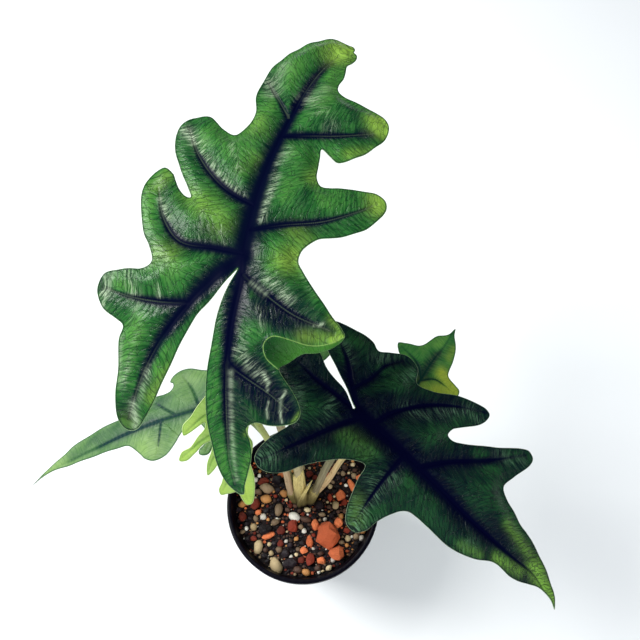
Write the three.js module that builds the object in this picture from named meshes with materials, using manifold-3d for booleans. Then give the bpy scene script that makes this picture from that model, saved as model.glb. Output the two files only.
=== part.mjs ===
// A potted alocasia with lobed leaves, in millimetres, +Z up.
// The origin is the centre of the pot's underside, where it stands, and -Y is the pot's front.
//
// Each leaf has a frame of its own: its origin is where the stalk meets the blade, u points to the
// blade's right, v along the midrib to the apex, and w up through the blade. The cut outline and the
// ribs are drawn flat in u and v, and one height formula bends the blade and puffs it between its ribs.

import * as THREE from 'three';
import { mergeVertices } from 'three/addons/utils/BufferGeometryUtils.js';
import Module from 'manifold-3d';

const wasm = await Module();
wasm.setup();

// The pot: a 9 cm nursery pot of thin black plastic.
const POT_RIM_RADIUS = 45;
const POT_BASE_RADIUS = 31;
const POT_HEIGHT = 80;
const POT_WALL = 1.4;
const POT_FLOOR = 1.8;
const RIM_BAND_HEIGHT = 9;
const RIM_BAND_STEP = 1.3;
const DRAIN_COUNT = 6;
const DRAIN_RADIUS = 3.2;
const DRAIN_CIRCLE = 20;
const ROUND_STEPS = 48;

// The gap that separate pieces keep where one rests in or on another.
const SEAT_GAP = 0.35;

// The soil and its stones.
const SOIL_DEPTH_BELOW_RIM = 8;
const SOIL_TOP = POT_HEIGHT - SOIL_DEPTH_BELOW_RIM;
const BIG_STONES = [
  // Place in plan, half length, half width, half height: the ones that stand out by eye.
  { x: 17, y: -16, size: [6.6, 5.4, 5.0] },
  { x: 21, y: -25, size: [4.6, 4.0, 3.6] },
  { x: -18, y: 11, size: [4.4, 2.9, 2.6] },
  { x: -19, y: -8, size: [4.0, 3.6, 3.0] },
  { x: -12, y: 0, size: [2.6, 3.8, 2.6] },
  { x: -13, y: -32, size: [3.1, 4.8, 3.0] },
  { x: -22, y: -20, size: [2.8, 4.2, 2.6] },
  { x: 3, y: -5, size: [3.6, 2.6, 2.2] },
  { x: -3, y: -5, size: [3.0, 2.4, 2.2] },
  { x: 27, y: 6, size: [3.4, 3.0, 2.8] },
  { x: 33, y: 12, size: [3.0, 4.6, 3.0] },
  { x: -28, y: 2, size: [2.8, 2.8, 2.4] },
];
const SMALL_STONES = 44;
const SMALL_STONE_MIN = 1.5;
const SMALL_STONE_MAX = 2.7;
const STONE_SEED = 41;

// The foot of the plant: one short corm in the soil, out of which the sheathed stalks rise.
const CORM_RADIUS = 8.2;
const CORM_CENTRE = { x: 0, y: 4.5 };
const CORM_BOTTOM = 56;
const CORM_TOP = SOIL_TOP - 1.5;

// The blades.
const BLADE_THICKNESS = 0.8;
const OUTLINE_STEP = 3.4;
const INNER_STEP = 5.8;
const RIB_STEP = 4.6;
const EDGE_ROLL = 9;
const BACK_BEND_LENGTH = 15;

// The big leaf that stands highest, at the back left.
const TALL_LEAF = {
  name: 'tall',
  at: [-24, 74.4, 235],
  heading: 69,
  pitch: 2,
  roll: -2,
  arch: 0.0007,
  cup: 0.0012,
  backBend: 0.005,
  backSlope: 0.2,
  puff: 3,
  reach: 7,
  outline: [
    // Inner side and tip of the left back lobe.
    [1, -4], [-2.5, -14], [-5.3, -21.5], [-8.5, -29], [-12.4, -48], [-16, -65], [-20, -75], [-25, -77],
    [-30, -74.5], [-33.7, -66], [-35.2, -56], [-38, -46],
    // Its blunt side lobe.
    [-38, -40.5], [-42.3, -38.8], [-46.3, -37.8], [-50.3, -36], [-54.8, -30], [-53.5, -23.6],
    [-46.2, -19.4], [-38.5, -17],
    // First left lobe.
    [-35.2, -13], [-39.2, -7], [-43.7, -2.8], [-47.5, 2.6], [-53.4, 12.8], [-55.2, 18], [-55.5, 23.2],
    [-54.4, 28.7], [-51.4, 32.1], [-46, 30.2], [-43, 27], [-39.6, 23.5], [-35.2, 21],
    // Second left lobe.
    [-32.9, 21.2], [-36.8, 26], [-42, 31.3], [-46.5, 36.5], [-51, 42], [-54, 47.6], [-55.7, 52.6],
    [-56, 57], [-54.7, 61], [-52.2, 64.3], [-45, 67], [-36, 62.3],
    // Apex lobe.
    [-28.6, 60.6], [-25.8, 69], [-25.8, 77], [-30, 87], [-31.2, 100], [-30.6, 112], [-28.6, 118.8],
    [-25.9, 125.6], [-22.6, 132.4], [-18, 138.6], [-13.5, 142.4], [-9, 144], [-5, 143.5],
    [-1.8, 142.6], [1, 141.8], [2.6, 139.9], [2.5, 138.2], [4.7, 136.4], [5.6, 133.5], [4.6, 129.5],
    [3.2, 126], [4.2, 120.6], [4.8, 116], [4.1, 111.4],
    // Upper right lobe.
    [5.2, 107], [8.8, 104.6], [14, 103.3], [20.4, 102], [26.8, 101.2], [32.2, 99], [35.3, 95.6],
    [36.5, 90.8], [35.9, 84.8], [33, 78.4], [29.9, 72.8], [26.4, 68.4], [23.2, 65.2], [20.5, 63.4],
    [16.2, 65.2],
    // Middle right lobe.
    [11.4, 67.6], [12.4, 63], [13.7, 57.2], [15.2, 51.6], [18.2, 48.2], [22.4, 48.8], [27, 50.4],
    [32.3, 52.6], [38.1, 53.6], [43, 54.9], [47.4, 53.4], [49.4, 49.8], [48.9, 44.6], [45, 36],
    [40.8, 31], [36.4, 27.4], [31.8, 24.2],
    // Right shoulder lobe, which starts the back, and the flap that hangs below it.
    [27, 21.6], [24.2, 17], [22.9, 12.6], [23.6, 8.2], [27, 4.8], [31, 1.4], [35.6, -2.1],
    [40.5, -5.4], [45.5, -8.9], [50, -11.4], [53, -14.4], [50.2, -20], [44.9, -23.9], [39.2, -26.5],
    [35.2, -30.4],
    // Its lower neighbour.
    [32.2, -35.2], [35.4, -37.9], [39.4, -40.4], [44, -44], [46.4, -47.6], [45.6, -51], [42, -53.6],
    [35, -56],
    // The right back lobe and its inner side.
    [29.5, -57], [26.6, -60], [29.8, -64], [32.1, -68.4], [32.9, -75.9], [33.1, -80.2], [33.7, -83.4],
    [31.9, -83.9], [29, -83.4], [25.8, -82.3], [22.2, -80], [18.2, -76], [14, -70], [9, -62],
    [4.2, -49], [2, -36], [0, -24], [0.2, -12],
  ],
  ribs: [
    { path: [[1, 1], [-1, 9], [-5, 28], [-8, 52], [-9, 76], [-9, 101], [-7, 119], [-3.5, 131]], root: 3.4 },
    { path: [[-10, 80], [-21, 91], [-29, 99]], root: 1.4 },
    { path: [[-6, 27], [-16, 29], [-27, 34], [-40, 44], [-51, 57]], root: 2.0 },
    { path: [[1, 3], [-12, 1], [-27, -1], [-39, 7], [-49, 21]], root: 2.2 },
    { path: [[-8, 68], [3, 73], [16, 79], [31, 88]], root: 1.9 },
    { path: [[-1, 15], [10, 22], [26, 31], [40, 44], [45, 50]], root: 1.9 },
    { path: [[1, 1], [-5, -8], [-13, -24], [-20, -42], [-24, -59], [-25, -72]], root: 3.0 },
    { path: [[-13, -24], [-24, -27], [-38, -29], [-50, -29]], root: 1.8 },
    { path: [[1, 1], [4, -8], [7, -27], [13, -46], [20, -64], [28, -80]], root: 2.6 },
    { path: [[4, -6], [15, -10], [30, -14], [46, -14.5]], root: 1.7 },
    { path: [[12, -41], [21, -43], [31, -45], [41, -48]], root: 1.7 },
  ],
  stalk: {
    sheathTop: 112,
    radius: [3.9, 2.5, 1.8],
    path: [
      [0, 2.5, 60], [-0.8, 2.6, 74], [-1.5, 6.2, 93], [-2.5, 12.5, 112],
      [-10, 26, 148], [-18, 49, 192],
    ],
  },
};

// The dark leaf that reaches over the rim to the front right.
const DARK_LEAF = {
  name: 'dark',
  at: [28, 28.4, 172],
  heading: -42,
  pitch: -12,
  roll: 0,
  arch: 0.001,
  cup: 0.0014,
  backBend: 0.002,
  backSlope: 0,
  puff: 3,
  reach: 7,
  outline: [
    // Inner side and round end of the right back lobe.
    [1.2, -1.6], [0.4, -3.2], [-0.9, -6], [-2.2, -9], [-3.1, -13], [-3.5, -17], [-5, -25], [-8.7, -33],
    [-8, -41], [-1, -46], [8, -46], [15, -40],
    // Long right shoulder lobe.
    [20, -28], [24, -21.5], [28, -18.8], [32.6, -19.8], [38.1, -21.2], [43.1, -21.6], [46.8, -21.2],
    [49.5, -20.1], [51, -18.2], [51.5, -15.3], [50.6, -11.6], [48.6, -8.5], [45.9, -6], [42.8, -3.9],
    [38.2, -1.7], [30, 3.8],
    // Short blunt right lobe.
    [21, 12], [17, 20], [24, 22], [35, 26], [42, 31], [42.2, 37], [38, 40.4], [33, 41.2], [28.6, 42.6],
    [24.3, 44.6],
    // Right side of the long apex lobe.
    [20.6, 46.9], [18.2, 50], [17.4, 54.7], [17.2, 61], [16.3, 76], [12, 88], [6.3, 97], [5.2, 108],
    [3.6, 113], [1, 118], [-1.4, 123], [-2, 128], [-1.5, 133], [0, 137],
    // Left side of the apex lobe.
    [-5, 132], [-11.6, 118], [-16, 103], [-17, 96.4], [-19, 90], [-21, 83.5], [-24, 78.4],
    // Upper left lobe.
    [-32, 80], [-43, 83], [-47, 82.3], [-48.4, 78.6], [-46, 74.3], [-42.7, 70.5], [-37.6, 65.1],
    [-32.9, 59.2], [-28.6, 54.1], [-25, 49.4],
    // Middle left lobe.
    [-22.2, 44.5], [-22.6, 41], [-26.2, 41], [-30, 43.6], [-38.8, 50.3], [-43.6, 51.7], [-46.6, 51],
    [-47.4, 48], [-46.8, 44.6], [-42, 33], [-34, 22],
    // Left shoulder lobe.
    [-31, 13], [-37, 9], [-38.6, 4.5], [-38, 0], [-33, -7],
    // The left back lobe and its inner side.
    [-29.6, -11.6], [-31.2, -16.5], [-31.2, -22], [-29.8, -27.5], [-28.2, -33], [-26.2, -37.6],
    [-22, -40.2], [-16, -38], [-11, -28], [-7.4, -19], [-5, -13], [-3.2, -9], [-1.8, -6], [-0.5, -3.2],
    [0.3, -1.2],
  ],
  ribs: [
    { path: [[1, 1], [0.5, 12], [0, 31], [0, 52], [0, 76], [-2, 100], [-4, 118], [-1, 132]], root: 3.2 },
    { path: [[1, 10], [-11, 14], [-26, 24], [-38, 37], [-46, 49]], root: 2.0 },
    { path: [[0, 40], [-12, 49], [-29, 65], [-45, 78]], root: 2.0 },
    { path: [[2, 4], [11, -1], [27, -8], [48, -17]], root: 2.0 },
    { path: [[0, 31], [15, 31], [27, 32], [39, 34]], root: 1.8 },
    { path: [[1, 1], [2, -12], [3, -26], [2, -40]], root: 2.0 },
    { path: [[1, 1], [-7, -10], [-15, -20], [-22, -34]], root: 2.0 },
    { path: [[-6, -8], [-16, -5], [-26, -4], [-35, 1]], root: 1.5 },
  ],
  stalk: {
    sheathTop: 92,
    radius: [3.4, 2.3, 1.7],
    path: [[3.5, 2.8, 60], [4.2, 3, 73], [8.7, 6.2, 96], [13.3, 11.6, 118], [20, 18.5, 143]],
  },
};

// The pale leaf, low on the left.
const PALE_LEAF = {
  name: 'pale',
  at: [-45, 42.4, 141],
  heading: 198,
  pitch: -14,
  roll: -6,
  arch: 0.0009,
  cup: 0.0025,
  backBend: 0.003,
  backSlope: 0,
  puff: 1.8,
  reach: 7,
  outline: [
    // The long right back lobe.
    [-0.5, -3], [1, -14], [2.4, -29], [2.4, -45], [2.8, -55], [3.7, -59.4], [5.7, -62.8], [7.8, -65],
    [10.6, -63], [12.8, -57], [15.5, -46], [15, -30], [13, -15],
    // Right shoulder.
    [16, -6], [20.9, 2.9], [25.7, 11.3], [27.1, 17], [26.2, 21], [24.4, 23.5], [22.6, 24.4],
    [20.9, 22.7], [18.6, 22.7],
    // Right side, out to the apex.
    [16.7, 25], [16.6, 29], [17.4, 33.2], [16, 42], [13.6, 50], [13.6, 58], [13, 74], [11, 89],
    [8.2, 96.5], [6.6, 104], [3, 115], [0, 121],
    // Left side, back from the apex.
    [1.8, 115], [2.4, 108], [1.6, 100], [0.5, 93], [-1, 77], [-2.4, 64], [-4, 55], [-11, 49],
    [-15, 46.2], [-17.6, 42],
    // Left lobe and left shoulder.
    [-17.4, 34], [-13.3, 27.5], [-10.2, 24.2], [-6.8, 19], [-6.4, 14.8], [-8.8, 11.6], [-12.9, 10],
    [-18.4, 9.8], [-20.4, 12.6], [-22, 15.6], [-24.1, 16], [-25.5, 13.7], [-25.3, 10.8],
    // The left back lobe.
    [-18, 4], [-15, -3], [-13, -11], [-7, -11], [-4, -5],
  ],
  ribs: [
    { path: [[-0.5, 0], [0, 12], [2, 32], [3, 52], [3, 76], [3, 100], [1, 115]], root: 2.2 },
    { path: [[2, 33], [-7, 36], [-15, 39]], root: 1.2 },
    { path: [[-0.5, 2], [-9, 4.5], [-17, 6.5], [-23.5, 12]], root: 1.3 },
    { path: [[1.5, 24], [8, 30], [14, 35]], root: 1.2 },
    { path: [[0, 10], [12, 12], [23, 16]], root: 1.3 },
    { path: [[-0.5, 0], [4, -14], [8, -32], [9, -48], [6.5, -61]], root: 1.5 },
    { path: [[-0.5, 0], [-6, -5], [-10.5, -9]], root: 1.3 },
  ],
  stalk: {
    sheathTop: 80,
    radius: [2.8, 1.9, 1.4],
    path: [
      [-3.6, 4.4, 60], [-4.7, 6, 73], [-7.5, 12.5, 90], [-11, 18.8, 104],
      [-20.6, 30.1, 118], [-31.4, 37.5, 130],
    ],
  },
};

// The small yellow-green leaf behind, on the right.
const SMALL_LEAF = {
  name: 'small',
  at: [50, 36.4, 138],
  heading: 53,
  pitch: -8,
  roll: 0,
  arch: 0.0016,
  cup: 0.0025,
  backBend: 0.002,
  backSlope: 0,
  puff: 1.6,
  reach: 6,
  outline: [
    // Left back lobe.
    [-2, 4], [-13, 8], [-26, 13], [-35, 15.5], [-41, 13], [-36, 8], [-27, 3], [-18, -2], [-10, -7],
    // Right back lobe.
    [-1, -11], [12, -12], [25, -14], [37, -14], [42, -10], [34, -4], [20, 1], [9, 4],
    // Right lobe.
    [8, 10], [13, 18], [20, 27], [21.5, 32], [20.3, 35.5], [17.3, 36.8], [11, 39.4],
    // Apex.
    [9.4, 44], [8.6, 48.6], [5.8, 57.5], [3.4, 62], [0, 67], [-2.2, 72.4], [-3.2, 65.8], [-7.6, 60],
    // Left lobe.
    [-9.4, 54], [-10.6, 49.4], [-13, 45.4], [-19, 43], [-23, 40], [-20, 35], [-15, 31], [-14, 24],
    [-9, 14], [-4, 6],
  ],
  ribs: [
    { path: [[-1, -1], [-0.5, 10], [0, 25], [-1, 40], [-1, 56], [-2, 68]], root: 1.8 },
    { path: [[0, 27], [-6, 34], [-13, 37], [-20, 39]], root: 1.2 },
    { path: [[0, 26], [6, 32], [13, 32.5], [19, 33]], root: 1.2 },
    { path: [[-1, -1], [-13, 3], [-26, 8], [-37, 12]], root: 1.4 },
    { path: [[-1, -1], [10, -4], [24, -8], [37, -10]], root: 1.4 },
  ],
  stalk: {
    sheathTop: 82,
    radius: [2.4, 1.9, 1.3],
    path: [
      [4, 4, 60], [5.3, 4.6, 72.5], [8.4, 6.4, 79], [14.6, 10.4, 92],
      [23, 19.5, 108], [38.4, 31, 125],
    ],
  },
};

// The lime young leaf that hangs down over the left of the rim.
const YOUNG_LEAF = {
  name: 'young',
  at: [-29, 32.4, 175],
  heading: -90,
  pitch: -50,
  roll: 0,
  arch: 0.0012,
  cup: 0.0035,
  backBend: 0.003,
  backSlope: 0,
  puff: 1.0,
  reach: 5,
  outline: [
    // The two small back lobes.
    [0.5, 0.5], [-2.5, -3], [-4.5, -7], [-2, -10], [1, -6], [2, -1.5], [5, -4], [10, -5], [14, -3],
    // First finger.
    [19, 3], [24, 11], [29, 18], [29, 23.5], [25.5, 21.5], [21, 17], [17.5, 14.5],
    // Second finger.
    [17.4, 17], [21.2, 22.6], [26, 30], [31.5, 35.2], [33, 40.5], [29, 40], [24, 34], [18, 27],
    // Third finger.
    [14.5, 25], [15.6, 32], [18.4, 40], [19, 49], [15, 44], [12, 40],
    // Fourth finger.
    [9.6, 40], [10.4, 46.8], [12, 53], [14, 59], [13, 62.4], [8.4, 61],
    // Apex.
    [4, 59], [2.5, 63], [0, 69], [-3, 68], [-5, 58], [-5.2, 48],
    // The narrow right side, with two shallow lobes.
    [-3.6, 38], [-5, 32], [-5.6, 26], [-3.6, 21], [-4.4, 15], [-6, 9], [-3, 5],
  ],
  ribs: [
    { path: [[0.5, 0.5], [3, 9], [4, 22], [3, 37], [1, 52], [-1, 65]], root: 1.4 },
    { path: [[2, 5], [10, 6], [19, 12], [27, 21]], root: 0.9 },
    { path: [[3.7, 14], [12, 19], [22, 28], [31, 38]], root: 0.9 },
    { path: [[4, 24], [10, 29], [15, 37], [18, 45]], root: 0.8 },
    { path: [[3, 38], [6, 45], [9, 52], [11.5, 59]], root: 0.8 },
  ],
  stalk: {
    sheathTop: 90,
    radius: [2.2, 2.0, 1.6],
    path: [
      [-4, 2.4, 60], [-5, 2.2, 72.5], [-6.4, 3.4, 79], [-7.8, 6.8, 93],
      [-9.6, 13.1, 112], [-18.6, 23.7, 144], [-24.6, 30.5, 162],
    ],
  },
};

const LEAVES = [TALL_LEAF, DARK_LEAF, PALE_LEAF, SMALL_LEAF, YOUNG_LEAF];

// The colours seen in the photograph, one for each piece.
const COLOURS = {
  pot: 0x0d0d10,
  soil: 0x3a2a24,
  corm: 0xa79268,
  blade_tall: 0x2f6b2a,
  blade_dark: 0x1d4f26,
  blade_pale: 0x6f9a62,
  blade_small: 0x7fa83a,
  blade_young: 0xb4d84a,
  petiole_tall: 0xb9a98a,
  petiole_dark: 0x9a9070,
  petiole_pale: 0xa9a57c,
  petiole_small: 0xc7b48c,
  petiole_young: 0xc3cf86,
};

// A repeatable random number between 0 and 1.
function seededRandom(seed) {
  let state = seed >>> 0;
  return () => {
    state = (state + 0x6d2b79f5) >>> 0;
    let t = state;
    t = Math.imul(t ^ (t >>> 15), t | 1);
    t ^= t + Math.imul(t ^ (t >>> 7), t | 61);
    return ((t ^ (t >>> 14)) >>> 0) / 4294967296;
  };
}

// Closed meshes: solids in and out of the boolean library.

function positionsOnly(geometry) {
  const bare = geometry.clone();
  bare.deleteAttribute('normal');
  bare.deleteAttribute('uv');
  return mergeVertices(bare, 1e-4);
}

function toSolid(geometry) {
  const bare = positionsOnly(geometry);
  return new wasm.Manifold(new wasm.Mesh({
    numProp: 3,
    vertProperties: new Float32Array(bare.attributes.position.array),
    triVerts: new Uint32Array(bare.index.array),
  }));
}

function fromSolid(solid) {
  const mesh = solid.getMesh();
  const geometry = new THREE.BufferGeometry();
  geometry.setAttribute('position', new THREE.BufferAttribute(new Float32Array(mesh.vertProperties), 3));
  geometry.setIndex(new THREE.BufferAttribute(new Uint32Array(mesh.triVerts), 1));
  return geometry;
}

function fromTriangles(points, triangles) {
  const geometry = new THREE.BufferGeometry();
  geometry.setAttribute('position', new THREE.Float32BufferAttribute(points.flat(), 3));
  geometry.setIndex(triangles.flat());
  return geometry;
}

// A turned solid about +Z, from a profile of radius and height that starts and ends on the axis.
function turned(profile, steps) {
  const geometry = new THREE.LatheGeometry(profile.map(([r, z]) => new THREE.Vector2(r, z)), steps);
  geometry.rotateX(Math.PI / 2);
  return geometry;
}

// The pot.

function potInnerRadius(z) {
  const slope = (POT_RIM_RADIUS - RIM_BAND_STEP - POT_BASE_RADIUS) / POT_HEIGHT;
  return POT_BASE_RADIUS - POT_WALL + slope * z;
}

function potGeometry() {
  const bandFoot = POT_HEIGHT - RIM_BAND_HEIGHT;
  const wallOuter = (z) => potInnerRadius(z) + POT_WALL;
  const profile = [
    [0, 0],
    [POT_BASE_RADIUS - 1, 0],
    [wallOuter(1), 1],
    [wallOuter(bandFoot), bandFoot],
    [POT_RIM_RADIUS, bandFoot + RIM_BAND_STEP],
    [POT_RIM_RADIUS, POT_HEIGHT - 1],
    [POT_RIM_RADIUS - 0.8, POT_HEIGHT],
    [potInnerRadius(POT_HEIGHT) + 0.6, POT_HEIGHT],
    [potInnerRadius(POT_HEIGHT), POT_HEIGHT - 0.8],
    [potInnerRadius(POT_FLOOR), POT_FLOOR],
    [0, POT_FLOOR],
  ];
  let pot = toSolid(turned(profile, ROUND_STEPS));
  for (let i = 0; i < DRAIN_COUNT; i += 1) {
    const angle = (i + 0.5) * 2 * Math.PI / DRAIN_COUNT;
    const drain = new THREE.CylinderGeometry(DRAIN_RADIUS, DRAIN_RADIUS, 4 * POT_FLOOR, 16);
    drain.rotateX(Math.PI / 2);
    drain.translate(DRAIN_CIRCLE * Math.cos(angle), DRAIN_CIRCLE * Math.sin(angle), 0);
    pot = pot.subtract(toSolid(drain));
  }
  return fromSolid(pot);
}

// The soil, with its stones sunk into it and a plain hole where the corm stands.

function stoneGeometry(random, x, y, size, detail) {
  const stone = positionsOnly(new THREE.IcosahedronGeometry(1, detail));
  const position = stone.attributes.position;
  for (let i = 0; i < position.count; i += 1) {
    const bump = 0.86 + 0.28 * random();
    position.setXYZ(i, bump * position.getX(i), bump * position.getY(i), bump * position.getZ(i));
  }
  stone.scale(...size);
  stone.rotateX(0.5 * (random() - 0.5));
  stone.rotateZ(0.6 * (random() - 0.5));
  stone.translate(x, y, SOIL_TOP + 0.1 * size[2]);
  return stone;
}

function soilGeometry() {
  const outer = (z) => potInnerRadius(z) - SEAT_GAP;
  const bottom = POT_FLOOR + SEAT_GAP;
  const profile = [[0, bottom], [outer(bottom) - 0.3, bottom], [outer(SOIL_TOP), SOIL_TOP], [0, SOIL_TOP]];
  let soil = toSolid(turned(profile, ROUND_STEPS));

  const random = seededRandom(STONE_SEED);
  const placed = BIG_STONES.map(({ x, y, size }) => ({ x, y, reach: Math.max(...size) }));
  for (const { x, y, size } of BIG_STONES) {
    soil = soil.add(toSolid(stoneGeometry(random, x, y, size, 1)));
  }
  let tries = 0;
  let count = 0;
  while (count < SMALL_STONES && tries < 4000) {
    tries += 1;
    const angle = 2 * Math.PI * random();
    const radius = (outer(SOIL_TOP) - SMALL_STONE_MAX - 0.8) * Math.sqrt(random());
    const x = radius * Math.cos(angle);
    const y = radius * Math.sin(angle);
    const half = SMALL_STONE_MIN + (SMALL_STONE_MAX - SMALL_STONE_MIN) * random();
    const clearOfCorm = Math.hypot(x - CORM_CENTRE.x, y - CORM_CENTRE.y) > CORM_RADIUS + half + 1.2;
    const clearOfStones = placed.every((p) => Math.hypot(x - p.x, y - p.y) > 1.1 * (p.reach + half));
    if (clearOfCorm && clearOfStones) {
      placed.push({ x, y, reach: half });
      const size = [half, half * (0.7 + 0.3 * random()), half * (0.6 + 0.3 * random())];
      soil = soil.add(toSolid(stoneGeometry(random, x, y, size, 0)));
      count += 1;
    }
  }

  const hole = new THREE.CylinderGeometry(CORM_RADIUS + SEAT_GAP, CORM_RADIUS + SEAT_GAP, 60, 32);
  hole.rotateX(Math.PI / 2);
  hole.translate(CORM_CENTRE.x, CORM_CENTRE.y, CORM_BOTTOM - SEAT_GAP + 30);
  return fromSolid(soil.subtract(toSolid(hole)));
}

// A smooth curve through hand-placed points.
function smooth(points, closed = false) {
  const vectors = points.map(([x, y, z = 0]) => new THREE.Vector3(x, y, z));
  return new THREE.CatmullRomCurve3(vectors, closed, 'centripetal');
}

// Points along an open flat curve at about the given step.
function stepAlong(points, step) {
  const curve = smooth(points);
  const count = Math.max(2, Math.round(curve.getLength() / step));
  return curve.getSpacedPoints(count).map((p) => [p.x, p.y]);
}

// The outline's points: every drawn point is kept, with more between where they lie far apart.
function outlinePoints(points, step) {
  const curve = smooth(points, true);
  const result = [];
  for (let i = 0; i < points.length; i += 1) {
    const [ax, ay] = points[i];
    const [bx, by] = points[(i + 1) % points.length];
    const pieces = Math.max(1, Math.round(Math.hypot(bx - ax, by - ay) / step));
    for (let k = 0; k < pieces; k += 1) {
      const p = curve.getPoint((i + k / pieces) / points.length);
      result.push([p.x, p.y]);
    }
  }
  return signedArea(result) < 0 ? result.reverse() : result;
}

function signedArea(polygon) {
  let area = 0;
  polygon.forEach(([x, y], i) => {
    const [nx, ny] = polygon[(i + 1) % polygon.length];
    area += (x * ny - nx * y) / 2;
  });
  return area;
}

function inside(polygon, x, y) {
  let within = false;
  for (let i = 0, j = polygon.length - 1; i < polygon.length; j = i, i += 1) {
    const [xi, yi] = polygon[i];
    const [xj, yj] = polygon[j];
    if ((yi > y) !== (yj > y) && x < (xj - xi) * (y - yi) / (yj - yi) + xi) {
      within = !within;
    }
  }
  return within;
}

function distanceToSegment(x, y, [ax, ay], [bx, by]) {
  const lengthSquared = (bx - ax) ** 2 + (by - ay) ** 2;
  const along = lengthSquared > 0 ? ((x - ax) * (bx - ax) + (y - ay) * (by - ay)) / lengthSquared : 0;
  const t = Math.min(1, Math.max(0, along));
  return Math.hypot(x - ax - t * (bx - ax), y - ay - t * (by - ay));
}

function distanceToOutline(polygon, x, y) {
  let best = Infinity;
  polygon.forEach((point, i) => {
    best = Math.min(best, distanceToSegment(x, y, point, polygon[(i + 1) % polygon.length]));
  });
  return best;
}

// Delaunay triangles of a set of flat points, by adding them one at a time.
function delaunay(points) {
  const big = 1e4;
  const all = [...points, [-big, -big], [big, -big], [0, big]];
  const n = points.length;
  const circle = (a, b, c) => {
    const [ax, ay] = all[a];
    const [bx, by] = all[b];
    const [cx, cy] = all[c];
    const d = 2 * (ax * (by - cy) + bx * (cy - ay) + cx * (ay - by));
    const sa = ax * ax + ay * ay;
    const sb = bx * bx + by * by;
    const sc = cx * cx + cy * cy;
    const x = (sa * (by - cy) + sb * (cy - ay) + sc * (ay - by)) / d;
    const y = (sa * (cx - bx) + sb * (ax - cx) + sc * (bx - ax)) / d;
    return { corners: [a, b, c], x, y, r2: (ax - x) ** 2 + (ay - y) ** 2 };
  };
  let triangles = [circle(n, n + 1, n + 2)];
  for (let i = 0; i < n; i += 1) {
    const [px, py] = all[i];
    const edges = new Map();
    const kept = [];
    for (const triangle of triangles) {
      if ((px - triangle.x) ** 2 + (py - triangle.y) ** 2 >= triangle.r2) {
        kept.push(triangle);
      } else {
        const [a, b, c] = triangle.corners;
        for (const [s, e] of [[a, b], [b, c], [c, a]]) {
          if (edges.has(`${e}_${s}`)) {
            edges.delete(`${e}_${s}`);
          } else {
            edges.set(`${s}_${e}`, [s, e]);
          }
        }
      }
    }
    triangles = kept;
    for (const [s, e] of edges.values()) {
      triangles.push(circle(s, e, i));
    }
  }
  return triangles.map((t) => t.corners).filter((corners) => corners.every((c) => c < n));
}

// The flat mesh of a blade: points on its outline, along its ribs and between them.
function flatBlade(leaf) {
  let outline = outlinePoints(leaf.outline, OUTLINE_STEP);
  const random = seededRandom(7);
  const inner = [];
  const farFrom = (list, x, y, gap) => list.every(([px, py]) => Math.hypot(x - px, y - py) >= gap);
  for (const rib of leaf.ribs) {
    for (const [x, y] of stepAlong(rib.path, RIB_STEP)) {
      if (inside(outline, x, y) && distanceToOutline(outline, x, y) > 2 && farFrom(inner, x, y, 2.4)) {
        inner.push([x, y]);
      }
    }
  }
  const ribPoints = inner.length;
  const rowHeight = INNER_STEP * Math.sqrt(3) / 2;
  for (let row = -20; row * rowHeight < 160; row += 1) {
    for (let column = -12; column < 13; column += 1) {
      const x = (column + 0.5 * (row & 1)) * INNER_STEP + 0.2 * random();
      const y = row * rowHeight + 0.2 * random();
      const free = farFrom(inner.slice(0, ribPoints), x, y, 0.62 * INNER_STEP);
      if (free && inside(outline, x, y) && distanceToOutline(outline, x, y) > 0.5 * INNER_STEP) {
        inner.push([x, y]);
      }
    }
  }

  // Every outline edge has to be an edge of the triangles: one that is missing gets a middle point.
  for (let round = 0; round < 6; round += 1) {
    const points = [...outline, ...inner];
    const triangles = delaunay(points);
    const edges = new Set();
    for (const [a, b, c] of triangles) {
      edges.add(`${a}_${b}`).add(`${b}_${c}`).add(`${c}_${a}`);
    }
    const refined = [];
    outline.forEach((point, i) => {
      const next = (i + 1) % outline.length;
      refined.push(point);
      if (!edges.has(`${i}_${next}`)) {
        refined.push([(point[0] + outline[next][0]) / 2, (point[1] + outline[next][1]) / 2]);
      }
    });
    if (refined.length === outline.length) {
      const faces = triangles.filter((corners) => {
        const x = corners.reduce((sum, c) => sum + points[c][0], 0) / 3;
        const y = corners.reduce((sum, c) => sum + points[c][1], 0) / 3;
        return inside(outline, x, y);
      });
      return { points, faces, rim: outline.length };
    }
    outline = refined;
  }
  throw new Error(`the outline of blade ${leaf.name} does not close`);
}

// The bend of a whole blade, without its relief.
function bend(leaf, u, v) {
  const front = Math.max(v, 0);
  const back = Math.min(v, 0);
  const droop = Math.hypot(back, BACK_BEND_LENGTH) - BACK_BEND_LENGTH;
  return -leaf.arch * front ** 2 - leaf.backBend * back ** 2 - leaf.backSlope * droop - leaf.cup * u ** 2;
}

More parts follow.
